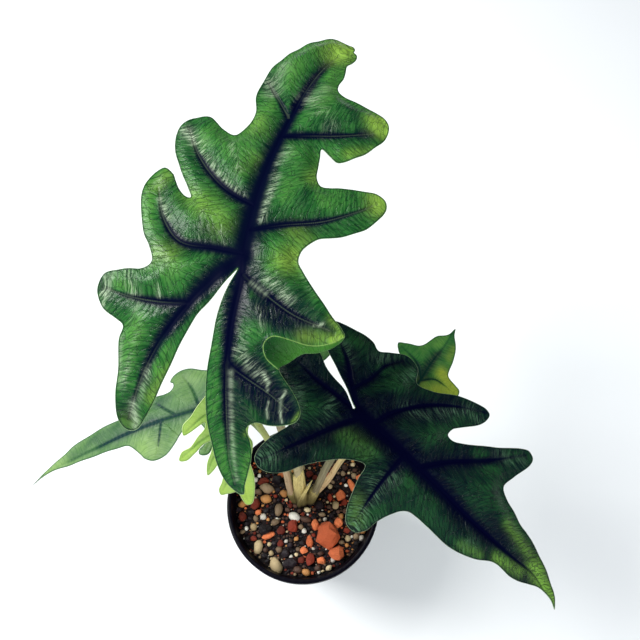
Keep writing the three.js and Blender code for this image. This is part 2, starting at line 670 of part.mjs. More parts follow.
// The blade's top and bottom at a flat point, given how far it is from the outline.
function bladeHeights(leaf, ribSamples, u, v, edgeDistance) {
  let nearest = Infinity;
  let ribSize = 0;
  for (const sample of ribSamples) {
    const distance = Math.hypot(u - sample.u, v - sample.v);
    nearest = Math.min(nearest, distance);
    ribSize = Math.max(ribSize, sample.size * Math.exp(-((distance / (0.6 * sample.size + 0.8)) ** 2)));
  }
  const inward = Math.min(1, edgeDistance / EDGE_ROLL);
  const lift = inward * inward * (3 - 2 * inward);
  const hollow = Math.exp(-((nearest / leaf.reach) ** 2));
  const wave = 0.7 * (1 - lift) * Math.sin(0.42 * u + 0.31 * v);
  const top = bend(leaf, u, v) + leaf.puff * (1 - hollow) * lift + wave;
  const slopeU = bend(leaf, u + 0.5, v) - bend(leaf, u - 0.5, v);
  const slopeV = bend(leaf, u, v + 0.5) - bend(leaf, u, v - 0.5);
  const stretch = Math.sqrt(1 + slopeU ** 2 + slopeV ** 2);
  const thickness = (BLADE_THICKNESS + 0.55 * ribSize) * stretch;
  return { top, bottom: top - thickness };
}

// The ribs as a row of close points, each with the rib's size there.
function ribRow(leaf) {
  const row = [];
  for (const rib of leaf.ribs) {
    const points = stepAlong(rib.path, 1.5);
    points.forEach(([u, v], i) => {
      row.push({ u, v, size: rib.root * (1 - 0.75 * i / (points.length - 1)) });
    });
  }
  return row;
}

function bladeGeometry(leaf) {
  const { points, faces, rim } = flatBlade(leaf);
  const outline = points.slice(0, rim);
  const ribSamples = ribRow(leaf);
  const top = [];
  const bottom = [];
  points.forEach(([u, v], i) => {
    const edgeDistance = i < rim ? 0 : distanceToOutline(outline, u, v);
    const heights = bladeHeights(leaf, ribSamples, u, v, edgeDistance);
    top.push([u, v, heights.top]);
    bottom.push([u, v, heights.bottom]);
  });
  const n = points.length;
  const triangles = [];
  for (const [a, b, c] of faces) {
    triangles.push([a, b, c], [n + a, n + c, n + b]);
  }
  for (let i = 0; i < rim; i += 1) {
    const next = (i + 1) % rim;
    triangles.push([i, n + i, n + next], [i, n + next, next]);
  }
  return fromTriangles([...top, ...bottom], triangles);
}

// The leaf's frame: u to the right, v to the apex, w up.
function leafMatrix(leaf) {
  const heading = THREE.MathUtils.degToRad(leaf.heading);
  const pitch = THREE.MathUtils.degToRad(leaf.pitch);
  const roll = THREE.MathUtils.degToRad(leaf.roll);
  const v = new THREE.Vector3(
    Math.cos(heading) * Math.cos(pitch),
    Math.sin(heading) * Math.cos(pitch),
    Math.sin(pitch),
  );
  const level = new THREE.Vector3(Math.sin(heading), -Math.cos(heading), 0);
  const upright = new THREE.Vector3().crossVectors(level, v);
  const u = level.clone().multiplyScalar(Math.cos(roll)).addScaledVector(upright, Math.sin(roll));
  const w = new THREE.Vector3().crossVectors(u, v);
  return new THREE.Matrix4().makeBasis(u, v, w).setPosition(...leaf.at);
}

// A round stalk along a curve, with a radius for each place along it and flat ends.
function stalkGeometry(curve, from, to, radiusAt, step, sides) {
  const length = curve.getLength();
  const count = Math.max(3, Math.round((to - from) * length / step));
  const points = [];
  const triangles = [];
  const across = new THREE.Vector3(1, 0, 0);
  for (let i = 0; i <= count; i += 1) {
    const t = from + (to - from) * i / count;
    const centre = curve.getPointAt(t);
    const along = curve.getTangentAt(t);
    across.addScaledVector(along, -across.dot(along)).normalize();
    const side = new THREE.Vector3().crossVectors(along, across);
    for (let k = 0; k < sides; k += 1) {
      const angle = 2 * Math.PI * k / sides;
      const p = centre.clone();
      p.addScaledVector(across, radiusAt(t) * Math.cos(angle));
      p.addScaledVector(side, radiusAt(t) * Math.sin(angle));
      points.push([p.x, p.y, p.z]);
    }
  }
  for (let i = 0; i < count; i += 1) {
    for (let k = 0; k < sides; k += 1) {
      const a = i * sides + k;
      const b = i * sides + (k + 1) % sides;
      triangles.push([a, b, b + sides], [a, b + sides, a + sides]);
    }
  }
  for (let k = 1; k < sides - 1; k += 1) {
    const last = count * sides;
    triangles.push([0, k + 1, k], [last, last + k, last + k + 1]);
  }
  return fromTriangles(points, triangles);
}

// The curve of a leaf's stalk, from the corm to just under its blade.
function stalkCurve(leaf) {
  const ribSamples = ribRow(leaf);
  const tipRadius = leaf.stalk.radius[2];
  let underside = Infinity;
  for (let k = 0; k < 12; k += 1) {
    for (const r of [0, 0.6 * tipRadius, tipRadius]) {
      const u = 0.5 + r * Math.cos(k * Math.PI / 6);
      const v = 1 + r * Math.sin(k * Math.PI / 6);
      underside = Math.min(underside, bladeHeights(leaf, ribSamples, u, v, 2).bottom);
    }
  }
  const matrix = leafMatrix(leaf);
  const tip = new THREE.Vector3(0.5, 1, underside - SEAT_GAP).applyMatrix4(matrix);
  const neck = new THREE.Vector3(0.5, 1, underside - SEAT_GAP - 7).applyMatrix4(matrix);
  const path = leaf.stalk.path.map(([x, y, z]) => new THREE.Vector3(x, y, z));
  return new THREE.CatmullRomCurve3([...path, neck, tip], false, 'centripetal');
}

// The place along a stalk, from 0 to 1, at which it reaches a height.
function placeAtHeight(curve, z) {
  let low = 0;
  let high = 1;
  for (let i = 0; i < 40; i += 1) {
    const middle = (low + high) / 2;
    if (curve.getPointAt(middle).z < z) {
      low = middle;
    } else {
      high = middle;
    }
  }
  return low;
}

function petioleGeometry(leaf) {
  const curve = stalkCurve(leaf);
  const [, middle, tip] = leaf.stalk.radius;
  const start = placeAtHeight(curve, leaf.stalk.sheathTop) + SEAT_GAP / curve.getLength();
  const radiusAt = (t) => middle + (tip - middle) * (t - start) / (1 - start);
  return stalkGeometry(curve, start, 1, radiusAt, 7, 10);
}

// The corm and the sheathed feet of all stalks grow together as one piece.
function cormGeometry() {
  const profile = [
    [0, CORM_BOTTOM],
    [0.7 * CORM_RADIUS, CORM_BOTTOM],
    [CORM_RADIUS, CORM_BOTTOM + 4],
    [CORM_RADIUS, CORM_TOP - 3],
    [0.8 * CORM_RADIUS, CORM_TOP],
    [0, CORM_TOP],
  ];
  const corm = turned(profile, 28);
  corm.translate(CORM_CENTRE.x, CORM_CENTRE.y, 0);
  let solid = toSolid(corm);
  for (const leaf of LEAVES) {
    const curve = stalkCurve(leaf);
    const [foot, middle] = leaf.stalk.radius;
    const end = placeAtHeight(curve, leaf.stalk.sheathTop);
    const radiusAt = (t) => foot + (middle + 0.45 - foot) * (t / end) ** 2;
    solid = solid.add(toSolid(stalkGeometry(curve, 0, end, radiusAt, 6, 10)));
  }
  return fromSolid(solid);
}

function finished(name, geometry, roughness) {
  const material = new THREE.MeshStandardMaterial({ color: COLOURS[name], roughness, metalness: 0 });
  const mesh = new THREE.Mesh(geometry, material);
  mesh.name = name;
  return mesh;
}

const group = new THREE.Group();
group.add(finished('pot', potGeometry(), 0.45));
group.add(finished('soil', soilGeometry(), 0.95));
group.add(finished('corm', cormGeometry(), 0.7));
for (const leaf of LEAVES) {
  const blade = finished(`blade_${leaf.name}`, bladeGeometry(leaf), 0.4);
  blade.applyMatrix4(leafMatrix(leaf));
  group.add(blade);
  group.add(finished(`petiole_${leaf.name}`, petioleGeometry(leaf), 0.6));
}

export default group;
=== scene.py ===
# %% [markdown]
# # A potted alocasia with lobed leaves
#
# This lesson dresses a measured plant. The measured parts are plain: every leaf is an arched plate
# with a cut outline, every stalk a tube, the pot a turned cup. Here each of them gets its skin: the
# dark bands along the ribs, the wrinkles that run out from them, papery sheaths, wet-looking plastic
# and a bed of coloured grit. The parts are loaded first and stay where they are.

# %% Load the measured parts
import math
import random

import bpy
import numpy as np
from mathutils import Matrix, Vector, noise
from mathutils.geometry import delaunay_2d_cdt
from mathutils.kdtree import KDTree


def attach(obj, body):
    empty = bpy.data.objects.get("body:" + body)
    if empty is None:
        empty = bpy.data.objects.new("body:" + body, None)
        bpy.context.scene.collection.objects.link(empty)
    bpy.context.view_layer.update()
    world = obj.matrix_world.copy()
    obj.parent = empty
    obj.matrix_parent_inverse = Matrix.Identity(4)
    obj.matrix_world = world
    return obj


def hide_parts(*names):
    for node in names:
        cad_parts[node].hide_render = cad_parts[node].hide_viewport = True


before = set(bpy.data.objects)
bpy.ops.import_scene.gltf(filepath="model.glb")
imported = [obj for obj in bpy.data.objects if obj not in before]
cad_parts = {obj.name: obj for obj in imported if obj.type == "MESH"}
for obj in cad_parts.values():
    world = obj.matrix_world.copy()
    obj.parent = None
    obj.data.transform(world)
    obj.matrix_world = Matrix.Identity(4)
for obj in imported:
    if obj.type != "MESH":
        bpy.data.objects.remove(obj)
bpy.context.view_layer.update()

MM = 0.001
print("nodes:", ", ".join(sorted(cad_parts)))

# %% [markdown]
# ## The stage
#
# The plant was looked at from the front and well above, about 65 degrees down, so the camera hangs
# over the pot's front edge. A wide window stands on the left: its light rakes over the leaves and
# picks out every wrinkle that tips towards it. The floor is plain and pale, and a weak light from
# above keeps the shadows soft.

# %% Camera
# Place in metres, tilt up from straight down in degrees, lens and sensor in millimetres.
CAMERA_PLACE = (0.010, -0.0629, 0.4689)
CAMERA_TILT = 25
CAMERA_LENS = 36.11
CAMERA_SENSOR = 36

bpy.ops.object.select_all(action="DESELECT")
bpy.ops.object.camera_add(location=CAMERA_PLACE, rotation=(math.radians(CAMERA_TILT), 0, 0))
camera = bpy.context.object
camera.data.lens = CAMERA_LENS
camera.data.sensor_width = CAMERA_SENSOR
camera.data.clip_start = 0.01
bpy.context.scene.camera = camera
bpy.context.scene.view_settings.view_transform = "Standard"
print("camera at", tuple(camera.location))


# %% Lights
ROOM_COLOUR = (0.8, 0.9, 1, 1)
ROOM_STRENGTH = 0.3


def soft_light(name, place, aim, size, power, colour):
    """A square soft box at place that shines at aim."""
    bpy.ops.object.light_add(type="AREA", location=place)
    lamp = bpy.context.object
    lamp.name = name
    lamp.rotation_euler = (Vector(aim) - Vector(place)).to_track_quat("-Z", "Y").to_euler()
    lamp.data.size = size
    lamp.data.energy = power
    lamp.data.color = colour
    return lamp


soft_light("window", (-0.85, 0.32, 0.98), aim=(0, 0.06, 0.15), size=0.6, power=21, colour=(1, 1, 0.98))
room_side = soft_light(
    "room_side", (0.45, -1.1, 1.35), aim=(0, 0.05, 0.1), size=1.3, power=22, colour=(0.98, 0.99, 1))
room_side.visible_glossy = False

world = bpy.data.worlds.new("room")
bpy.context.scene.world = world
world.use_nodes = True
world.node_tree.nodes["Background"].inputs["Color"].default_value = ROOM_COLOUR
world.node_tree.nodes["Background"].inputs["Strength"].default_value = ROOM_STRENGTH
world.cycles_visibility.glossy = False

# %% [markdown]
# ## Paint by arithmetic
#
# A finish is a small network of nodes. Written as arithmetic it reads like the thought behind it:
# `green * (1 - band)`. The class `Wire` wraps one socket, and each operator on it adds a Math node.
# `Finish.node` makes any other node: its settings first, then what its sockets hold.


# %% Wires
class Wire:
    """One value on its way through a finish; arithmetic on it adds Math nodes."""

    def __init__(self, finish, socket):
        self.finish = finish
        self.socket = socket

    def math(self, operation, *values):
        return self.finish.node("ShaderNodeMath", {"operation": operation}, dict(enumerate(values)))

    def __add__(self, other):
        return self.math("ADD", self, other)

    def __sub__(self, other):
        return self.math("SUBTRACT", self, other)

    def __rsub__(self, other):
        return self.math("SUBTRACT", other, self)

    def __mul__(self, other):
        return self.math("MULTIPLY", self, other)

    def __truediv__(self, other):
        return self.math("DIVIDE", self, other)

    __radd__ = __add__
    __rmul__ = __mul__

    def clamped(self):
        return self.math("MINIMUM", self.math("MAXIMUM", self, 0.0), 1.0)

    def between(self, low, high):
        """0 below low, 1 above high, and a soft step from one to the other."""
        settings = {"interpolation_type": "SMOOTHSTEP"}
        inputs = {"Value": self, "From Min": low, "From Max": high, "To Min": 0.0, "To Max": 1.0}
        return self.finish.node("ShaderNodeMapRange", settings, inputs)


print("wire:", Wire.__doc__)


# %% Finishes
class Finish:
    """A material with one shader, to which nodes are added by their type."""

    def __init__(self, name):
        self.material = bpy.data.materials.new(name)
        self.material.use_nodes = True
        self.tree = self.material.node_tree
        self.tree.nodes.clear()
        self.shader = self.tree.nodes.new("ShaderNodeBsdfPrincipled")
        self.output = self.tree.nodes.new("ShaderNodeOutputMaterial")
        self.tree.links.new(self.shader.outputs["BSDF"], self.output.inputs["Surface"])

    def node(self, kind, settings=None, inputs=None, output=0):
        made = self.tree.nodes.new(kind)
        for name, value in (settings or {}).items():
            if name == "stops":
                self.set_stops(made.color_ramp.elements, value)
            else:
                setattr(made, name, value)
        for name, value in (inputs or {}).items():
            self.feed(made.inputs[name], value)
        return Wire(self, made.outputs[output])

    def set_stops(self, elements, stops):
        while len(elements) < len(stops):
            elements.new(1.0)
        for element, (position, colour) in zip(elements, stops):
            element.position = position
            element.color = colour

    def feed(self, socket, value):
        if isinstance(value, Wire):
            self.tree.links.new(value.socket, socket)
        else:
            socket.default_value = value

    def set(self, shader=None, **values):
        """The sockets of the finish's shader or of another one, with _ for a space in the name."""
        for name, value in values.items():
            self.feed((shader or self.shader).inputs[name.replace("_", " ")], value)

    def layer(self, mask, **values):
        """Lays a second shader under the first one, which covers it only as far as the mask says."""
        lower = self.tree.nodes.new("ShaderNodeBsdfPrincipled")
        self.set(lower, **values)
        under = Wire(self, lower.outputs["BSDF"])
        over = Wire(self, self.shader.outputs["BSDF"])
        both = self.node("ShaderNodeMixShader", inputs={0: mask.clamped(), 1: under, 2: over})
        self.feed(self.output.inputs["Surface"], both)

    def mark(self, name):
        """A mask that the mesh carries from point to point."""
        return self.node("ShaderNodeAttribute", {"attribute_name": name}, output="Fac")

    def place(self):
        return self.node("ShaderNodeTexCoord", output="Object")

    def speckle(self, vector, scale, detail=2.0, roughness=0.5):
        """Cloudy noise about 0.5, with scale in cells to the metre."""
        inputs = {"Vector": vector, "Scale": scale, "Detail": detail, "Roughness": roughness}
        return self.node("ShaderNodeTexNoise", inputs=inputs)

    def mix(self, mask, below, above):
        """The colour below where the mask is 0 and above where it is 1."""
        settings = {"data_type": "RGBA"}
        return self.node("ShaderNodeMix", settings, {0: mask, 6: below, 7: above}, output=2)

    def ramp(self, value, low, high, stops):
        """A colour that follows the value from low to high through stops at such values."""
        placed = [((at - low) / (high - low), colour) for at, colour in stops]
        return self.node("ShaderNodeValToRGB", {"stops": placed}, {0: (value - low) / (high - low)})

    def relief(self, height, depth, below=None):
        """Bumps of that depth, in metres, on top of the bumps below."""
        inputs = {"Height": height, "Distance": depth, "Strength": 1.0}
        if below is not None:
            inputs["Normal"] = below
        return self.node("ShaderNodeBump", inputs=inputs)


def paint(red, green, blue):
    """A colour as painters' charts give it, 0 to 255, turned into light."""
    values = [c / 255 for c in (red, green, blue)]
    light = [v / 12.92 if v <= 0.04045 else ((v + 0.055) / 1.055) ** 2.4 for v in values]
    return (*light, 1.0)


print("middle grey:", [round(c, 3) for c in paint(128, 128, 128)])

# %% Floor
FLOOR_RADIUS = 3.0

bpy.ops.object.select_all(action="DESELECT")
bpy.ops.mesh.primitive_circle_add(vertices=96, radius=FLOOR_RADIUS, fill_type="NGON")
floor = bpy.context.object
floor.name = "floor"
floor_finish = Finish("floor_white")
cloud = floor_finish.speckle(floor_finish.place(), 3.0)
white = floor_finish.mix(cloud, paint(238, 240, 242), paint(247, 248, 248))
floor_finish.set(Base_Color=white, Roughness=0.8)
floor.data.materials.append(floor_finish.material)
print("floor radius", FLOOR_RADIUS, "m")

# %% [markdown]
# ## Helpers for the meshes
#
# Several pieces are slabs: a flat outline filled with triangles, lifted by a height formula and
# closed by a second layer under it. Blender has no brush that cuts a leaf this way by hand without
# a stray face, so a few lines of mesh code do it: they fill the outline with an even net of
# triangles, and the same helper makes the leaves and the bed of soil.


# %% Curves through drawn points
def smooth_curve(points, counts, closed=False):
    """A curve through the drawn points. counts is the steps of a span, one number or a list."""
    drawn = np.array(points, float)
    size = len(drawn)
    spans = size if closed else size - 1
    counts = np.broadcast_to(counts, spans)
    pieces = []
    for i in range(spans):
        here, there = drawn[i], drawn[(i + 1) % size]
        before = drawn[i - 1] if closed or i > 0 else 2 * here - there
        after = drawn[(i + 2) % size] if closed or i < size - 2 else 2 * there - here
        legs = ((before, here), (here, there), (there, after))
        first, middle, last = (np.linalg.norm(b - a) ** 0.5 for a, b in legs)
        out = (here - before) / first - (there - before) / (first + middle) + (there - here) / middle
        into = (there - here) / middle - (after - here) / (middle + last) + (after - there) / last
        out, into = out * middle, into * middle
        t = np.arange(counts[i])[:, None] / counts[i]
        cubic = 2 * here - 2 * there + out + into
        square = 3 * there - 3 * here - 2 * out - into
        pieces.append(here + out * t + square * t**2 + cubic * t**3)
    if not closed:
        pieces.append(drawn[-1:])
    return np.concatenate(pieces)


def evenly(points, step):
    """The same line with its points the same step apart."""
    lengths = np.r_[0, np.cumsum(np.linalg.norm(np.diff(points, axis=0), axis=1))]
    count = max(2, round(lengths[-1] / step))
    wanted = np.linspace(0, lengths[-1], count + 1)
    return np.stack([np.interp(wanted, lengths, points[:, k]) for k in range(points.shape[1])], 1)


def smoothstep(x, low, high):
    t = np.clip((x - low) / (high - low), 0, 1)
    return t * t * (3 - 2 * t)


print("a quarter turn:", np.round(smooth_curve([(1, 0), (0.7, 0.7), (0, 1)], 2)[1], 3))


# %% Flat nets of triangles
# How many points are worked on at once, and how finely a line is sampled, in millimetres.
LOOP_BATCH = 250
LINE_SAMPLE = 0.12
# How near an inner point may come to the outline, as a share of the net's step.
RIM_CLEARANCE = 0.55


def inside_loop(loop, points):
    """Which of the flat points lie inside the closed outline."""
    start, end = loop, np.roll(loop, -1, axis=0)
    rise = np.where(end[:, 1] == start[:, 1], 1e-12, end[:, 1] - start[:, 1])
    slope = (end[:, 0] - start[:, 0]) / rise
    within = np.empty(len(points), bool)
    for k in range(0, len(points), LOOP_BATCH):
        part = slice(k, k + LOOP_BATCH)
        x, y = points[part, :1], points[part, 1:]
        crosses = (start[:, 1] > y) != (end[:, 1] > y)
        within[part] = (crosses & (x < start[:, 0] + (y - start[:, 1]) * slope)).sum(1) % 2 == 1
    return within


def distance_to_loop(loop, points):
    """How far each flat point is from the closed outline."""
    return distance_to_line(np.concatenate([loop, loop[:1]]), points)


def distance_to_line(line, points):
    """How far each flat point is from an open line."""
    fine = evenly(line, LINE_SAMPLE)
    tree = KDTree(len(fine))
    for k, (x, y) in enumerate(fine):
        tree.insert((x, y, 0), k)
    tree.balance()
    return np.array([tree.find((x, y, 0))[2] for x, y in points])


def fill_loop(loop, step):
    """Points and triangles of a flat net inside the loop. Its first points are the loop's own."""
    low, high = loop.min(0), loop.max(0)
    row = step * math.sqrt(3) / 2
    down = np.arange(low[1], high[1], row)
    across = np.arange(low[0], high[0], step)
    grid = np.stack(np.meshgrid(across, down), 2)
    grid[1::2, :, 0] += step / 2
    inner = grid.reshape(-1, 2)
    inner = inner[inside_loop(loop, inner)]
    inner = inner[distance_to_loop(loop, inner) > RIM_CLEARANCE * step]
    points = np.concatenate([loop, inner])
    around_loop = [(i, (i + 1) % len(loop)) for i in range(len(loop))]
    made = delaunay_2d_cdt([Vector(p) for p in points], around_loop, [], 1, 1e-7, True)
    if len(made[0]) != len(points):
        raise ValueError(f"the outline crosses itself: {len(made[0])} points came of {len(points)}")
    back = np.array([ids[0] for ids in made[3]])
    corners = back[np.array(made[2])]
    # A triangle between rim points alone may bridge a notch of the outline, and then it goes.
    bridges = (corners < len(loop)).all(1)
    bridges[bridges] = ~inside_loop(loop, points[corners[bridges]].mean(1))
    corners = corners[~bridges]
    a, b, c = (points[corners[:, k]] for k in range(3))
    area = (b[:, 0] - a[:, 0]) * (c[:, 1] - a[:, 1]) - (b[:, 1] - a[:, 1]) * (c[:, 0] - a[:, 0])
    corners[area < 0] = corners[area < 0][:, ::-1]
    return points, corners


square = np.array([(0, 0), (2, 0), (4, 0), (4, 2), (4, 4), (2, 4), (0, 4), (0, 2)], float)
print("triangles in a small square:", len(fill_loop(square, 1.0)[1]))


# %% Meshes with marks
def slab_object(name, rim, top, top_faces, bottom, bottom_faces):
    """A closed mesh of a top net and a bottom net whose first rim points stand above one another."""
    shift = len(top)
    ring = np.arange(rim)
    following = np.roll(ring, -1)
    sides = np.concatenate([
        np.stack([ring, shift + ring, shift + following], 1),
        np.stack([ring, shift + following, following], 1),
    ])
    faces = np.concatenate([top_faces, shift + bottom_faces[:, ::-1], sides])
    return mesh_object(name, np.concatenate([top, bottom]), faces)


def mesh_object(name, points, faces):
    """A smooth mesh from points in metres and faces with the same number of corners."""
    mesh = bpy.data.meshes.new(name)
    mesh.vertices.add(len(points))
    mesh.vertices.foreach_set("co", np.asarray(points, np.float32).ravel())
    faces = np.asarray(faces, np.int32)
    mesh.loops.add(faces.size)
    mesh.loops.foreach_set("vertex_index", faces.ravel())
    mesh.polygons.add(len(faces))
    mesh.polygons.foreach_set("loop_start", np.arange(0, faces.size, faces.shape[1], dtype=np.int32))
    mesh.update(calc_edges=True)
    mesh.validate()
    mesh.shade_smooth()
    made = bpy.data.objects.new(name, mesh)
    bpy.context.scene.collection.objects.link(made)
    return made


def carry(piece, **marks):
    """Gives every point of the piece one number for each mark, for its finish to read."""
    for name, values in marks.items():
        made = piece.data.attributes.new(name, "FLOAT", "POINT")
        made.data.foreach_set("value", np.asarray(values, np.float32))


def dress(piece, finish, slot, *nodes):
    """Gives a piece its finish, sets it on the plant and hides the measured parts it stands for."""
    piece.data.materials.clear()
    piece.data.materials.append(finish.material)
    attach(piece, "root")
    if nodes:
        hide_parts(*nodes)
    piece.data.calc_loop_triangles()
    print(f"{piece.name}: {len(piece.data.loop_triangles)} triangles")


def clouds(points, scale, seed=0.0):
    """Soft random numbers about 0 for points in millimetres, with scale in cells to the millimetre."""
    shift = Vector((seed, 2.7 * seed, -1.3 * seed))
    return np.array([noise.noise(Vector((*p, 0.0)[:3]) * scale + shift) for p in points])


print("a soft random number:", round(clouds([(1.0, 2.0)], 0.3)[0], 3))

# %% [markdown]
# ## The pot
#
# A nursery pot is blown from thin black plastic: a smooth tapered cup, a band round the rim that
# stiffens it, a rolled lip. It can be spun from a drawn profile, or raised like a potter does, ring
# by ring. Here a cylinder is added at the size of the base, and its top face is extruded and scaled
# up the outside, over the lip and down the inside, so that the wall is closed at every step.

# %% Raise the pot
POT_RIM_RADIUS = 45.0
POT_BASE_RADIUS = 31.0
POT_HEIGHT = 80.0
POT_WALL = 1.4
POT_FLOOR = 1.8
RIM_BAND_HEIGHT = 9.0
RIM_BAND_STEP = 1.3
SOIL_TOP = 72.0
POT_STEPS = 160
# The disc from which the rings are raised.
FOOT_RADIUS = POT_BASE_RADIUS - 1
FOOT_DEPTH = 0.2


def inner_radius(z):
    return POT_BASE_RADIUS - POT_WALL + (POT_RIM_RADIUS - RIM_BAND_STEP - POT_BASE_RADIUS) / POT_HEIGHT * z


def outer(z):
    return inner_radius(z) + POT_WALL


def select_faces(piece, wanted):
    """Edit mode with only the faces selected for which wanted(face) holds."""
    bpy.ops.object.mode_set(mode="OBJECT")
    for part in (piece.data.vertices, piece.data.edges, piece.data.polygons):
        part.foreach_set("select", np.zeros(len(part), bool))
    for face in piece.data.polygons:
        face.select = bool(wanted(face))
    bpy.ops.object.mode_set(mode="EDIT")
    bpy.ops.mesh.select_mode(type="FACE")


def raise_ring(radius, height, last):
    """Extrudes the selected cap to a new radius and height. last is where it was."""
    bpy.ops.mesh.extrude_region_move()
    bpy.ops.transform.translate(value=(0, 0, (height - last[1]) * MM))
    scale = radius / last[0]
    bpy.ops.transform.resize(value=(scale, scale, 1), center_override=(0, 0, height * MM))
    return radius, height


band_foot = POT_HEIGHT - RIM_BAND_HEIGHT
# Radius and height of each ring, up the outside, over the lip and down the inside.
rings = [
    (outer(0.5), 0.5), (outer(1.3), 1.3), (outer(3.4), 3.4), (outer(3.9) + 0.25, 3.9),
    (outer(4.6) + 0.25, 4.6), (outer(5.1), 5.1), (outer(30), 30), (outer(55), 55),
    (outer(band_foot - 0.6), band_foot - 0.6), (outer(band_foot) + 0.35, band_foot),
    (POT_RIM_RADIUS - 0.45, band_foot + 0.75), (POT_RIM_RADIUS, band_foot + 1.5),
    (POT_RIM_RADIUS, POT_HEIGHT - 2.2), (POT_RIM_RADIUS, POT_HEIGHT - 0.9),
    (POT_RIM_RADIUS - 0.25, POT_HEIGHT - 0.3), (POT_RIM_RADIUS - 0.8, POT_HEIGHT),
    (inner_radius(POT_HEIGHT) + 0.7, POT_HEIGHT), (inner_radius(POT_HEIGHT) + 0.2, POT_HEIGHT - 0.25),
    (inner_radius(POT_HEIGHT), POT_HEIGHT - 0.9), (inner_radius(74), 74), (inner_radius(60), 60),
    (inner_radius(30), 30), (inner_radius(POT_FLOOR + 1), POT_FLOOR + 1),
    (inner_radius(POT_FLOOR) - 1, POT_FLOOR),
]
bpy.ops.object.select_all(action="DESELECT")
bpy.ops.mesh.primitive_cylinder_add(
    vertices=POT_STEPS, radius=FOOT_RADIUS * MM, depth=FOOT_DEPTH * MM, location=(0, 0, FOOT_DEPTH / 2 * MM))
pot = bpy.context.object
pot.name = "pot_turned"
bpy.ops.object.transform_apply(location=True, rotation=True, scale=True)
select_faces(pot, lambda face: face.normal.z > 0.9)
last = (FOOT_RADIUS, FOOT_DEPTH)
for radius, height in rings:
    last = raise_ring(radius, height, last)
bpy.ops.object.mode_set(mode="OBJECT")
print("pot rings:", len(rings), "top at", max(v.co.z for v in pot.data.vertices))

# %% [markdown]
# The water runs out through six round holes in the floor. They are cut with a plain cylinder and a
# Boolean modifier, one after the other.

# %% Drain holes
DRAIN_COUNT = 6
DRAIN_RADIUS = 3.2
DRAIN_CIRCLE = 20.0
DRILL_DEPTH = 12
DRILL_SIDES = 32


def use_only(piece):
    bpy.ops.object.select_all(action="DESELECT")
    piece.select_set(True)
    bpy.context.view_layer.objects.active = piece


for k in range(DRAIN_COUNT):
    turn = (k + 0.5) * 2 * math.pi / DRAIN_COUNT
    spot = (DRAIN_CIRCLE * MM * math.cos(turn), DRAIN_CIRCLE * MM * math.sin(turn), 0)
    bpy.ops.object.select_all(action="DESELECT")
    bpy.ops.mesh.primitive_cylinder_add(
        vertices=DRILL_SIDES, radius=DRAIN_RADIUS * MM, depth=DRILL_DEPTH * MM, location=spot)
    drill = bpy.context.object
    use_only(pot)
    cut = pot.modifiers.new("hole", "BOOLEAN")
    cut.operation = "DIFFERENCE"
    cut.object = drill
    cut.solver = "EXACT"
    bpy.ops.object.modifier_apply(modifier=cut.name)
    bpy.data.objects.remove(drill)
use_only(pot)
bpy.ops.object.shade_smooth_by_angle(angle=math.radians(40))
print("pot faces after the holes:", len(pot.data.polygons))

# %% [markdown]
# The plastic is nearly black with a soft gloss. Handling leaves fine scuffs, and watering leaves a
# brown film on the inside, just above the soil.

# %% Pot finish
plastic = Finish("black_plastic")
spot = plastic.place()
scuff = plastic.speckle(spot, 900, detail=6.0, roughness=0.7).between(0.56, 0.78)
height = plastic.node("ShaderNodeSeparateXYZ", inputs={0: spot}, output=2)
film = (1 - height.between(0.0725, 0.077)) * height.between(0.068, 0.071)
film = film * plastic.speckle(spot, 260, detail=4.0).between(0.35, 0.65) * 0.7
colour = plastic.mix(scuff * 0.3, paint(3, 2, 14), paint(22, 20, 36))
colour = plastic.mix(film, colour, paint(26, 18, 24))
ripple = plastic.relief(plastic.speckle(spot, 420, detail=3.0), 0.00022)
dull = 0.46 + scuff * 0.2 + film * 0.3
plastic.set(Base_Color=colour, Roughness=dull, Normal=ripple, Specular_IOR_Level=0.16)
dress(pot, plastic, "pot_plastic", "pot")

# %% [markdown]
# ## The soil
#
# The mix is coarse: dark bark and pumice dust below, and on top a scatter of lava, pebbles and grit
# that washing has laid bare. The bed is a slab with an uneven top. The stones come after it.

# %% Bed of soil
CORM_CENTRE = (0.0, 4.5)
BED_RADIUS = inner_radius(SOIL_TOP) - 0.15
BED_DEPTH = 12.0
BED_SIDES = 180
BED_NET = 1.1


def bed_height(x, y):
    """The top of the bed under a flat point, in millimetres."""
    swell = 1.1 * noise.noise(Vector((x, y, 3.0)) * 0.07)
    lumps = 0.7 * noise.noise(Vector((x, y, 9.0)) * 0.35)
    hollow = 1.6 * math.exp(-(((x - CORM_CENTRE[0]) ** 2 + (y - CORM_CENTRE[1] + 4) ** 2) / 90))
    return SOIL_TOP - 0.9 + swell + lumps - hollow


around = np.linspace(0, 2 * math.pi, BED_SIDES, endpoint=False)
bed_loop = BED_RADIUS * np.stack([np.cos(around), np.sin(around)], 1)
flat, corners = fill_loop(bed_loop, BED_NET)
heights = np.array([bed_height(x, y) for x, y in flat])
shrink = inner_radius(SOIL_TOP - BED_DEPTH) / inner_radius(SOIL_TOP)
top = np.c_[flat, heights] * MM
bottom = np.c_[flat * shrink, np.full(len(flat), SOIL_TOP - BED_DEPTH)] * MM
soil = slab_object("soil_bed", len(bed_loop), top, corners, bottom, corners)
print("bed from", round(heights.min(), 1), "to", round(heights.max(), 1), "mm")

# %% Soil finish
earth = Finish("dark_mix")
spot = earth.place()
grain = earth.speckle(spot, 1400, detail=6.0, roughness=0.7)
patch = earth.speckle(spot, 120, detail=3.0).between(0.4, 0.62)
colour = earth.mix(patch, paint(7, 5, 13), paint(28, 17, 18))
colour = earth.mix(grain.between(0.6, 0.72) * 0.5, colour, paint(66, 44, 40))
earth.set(Base_Color=colour, Roughness=0.9, Normal=earth.relief(grain, 0.0012))
dress(soil, earth, "soil_mix", "soil")

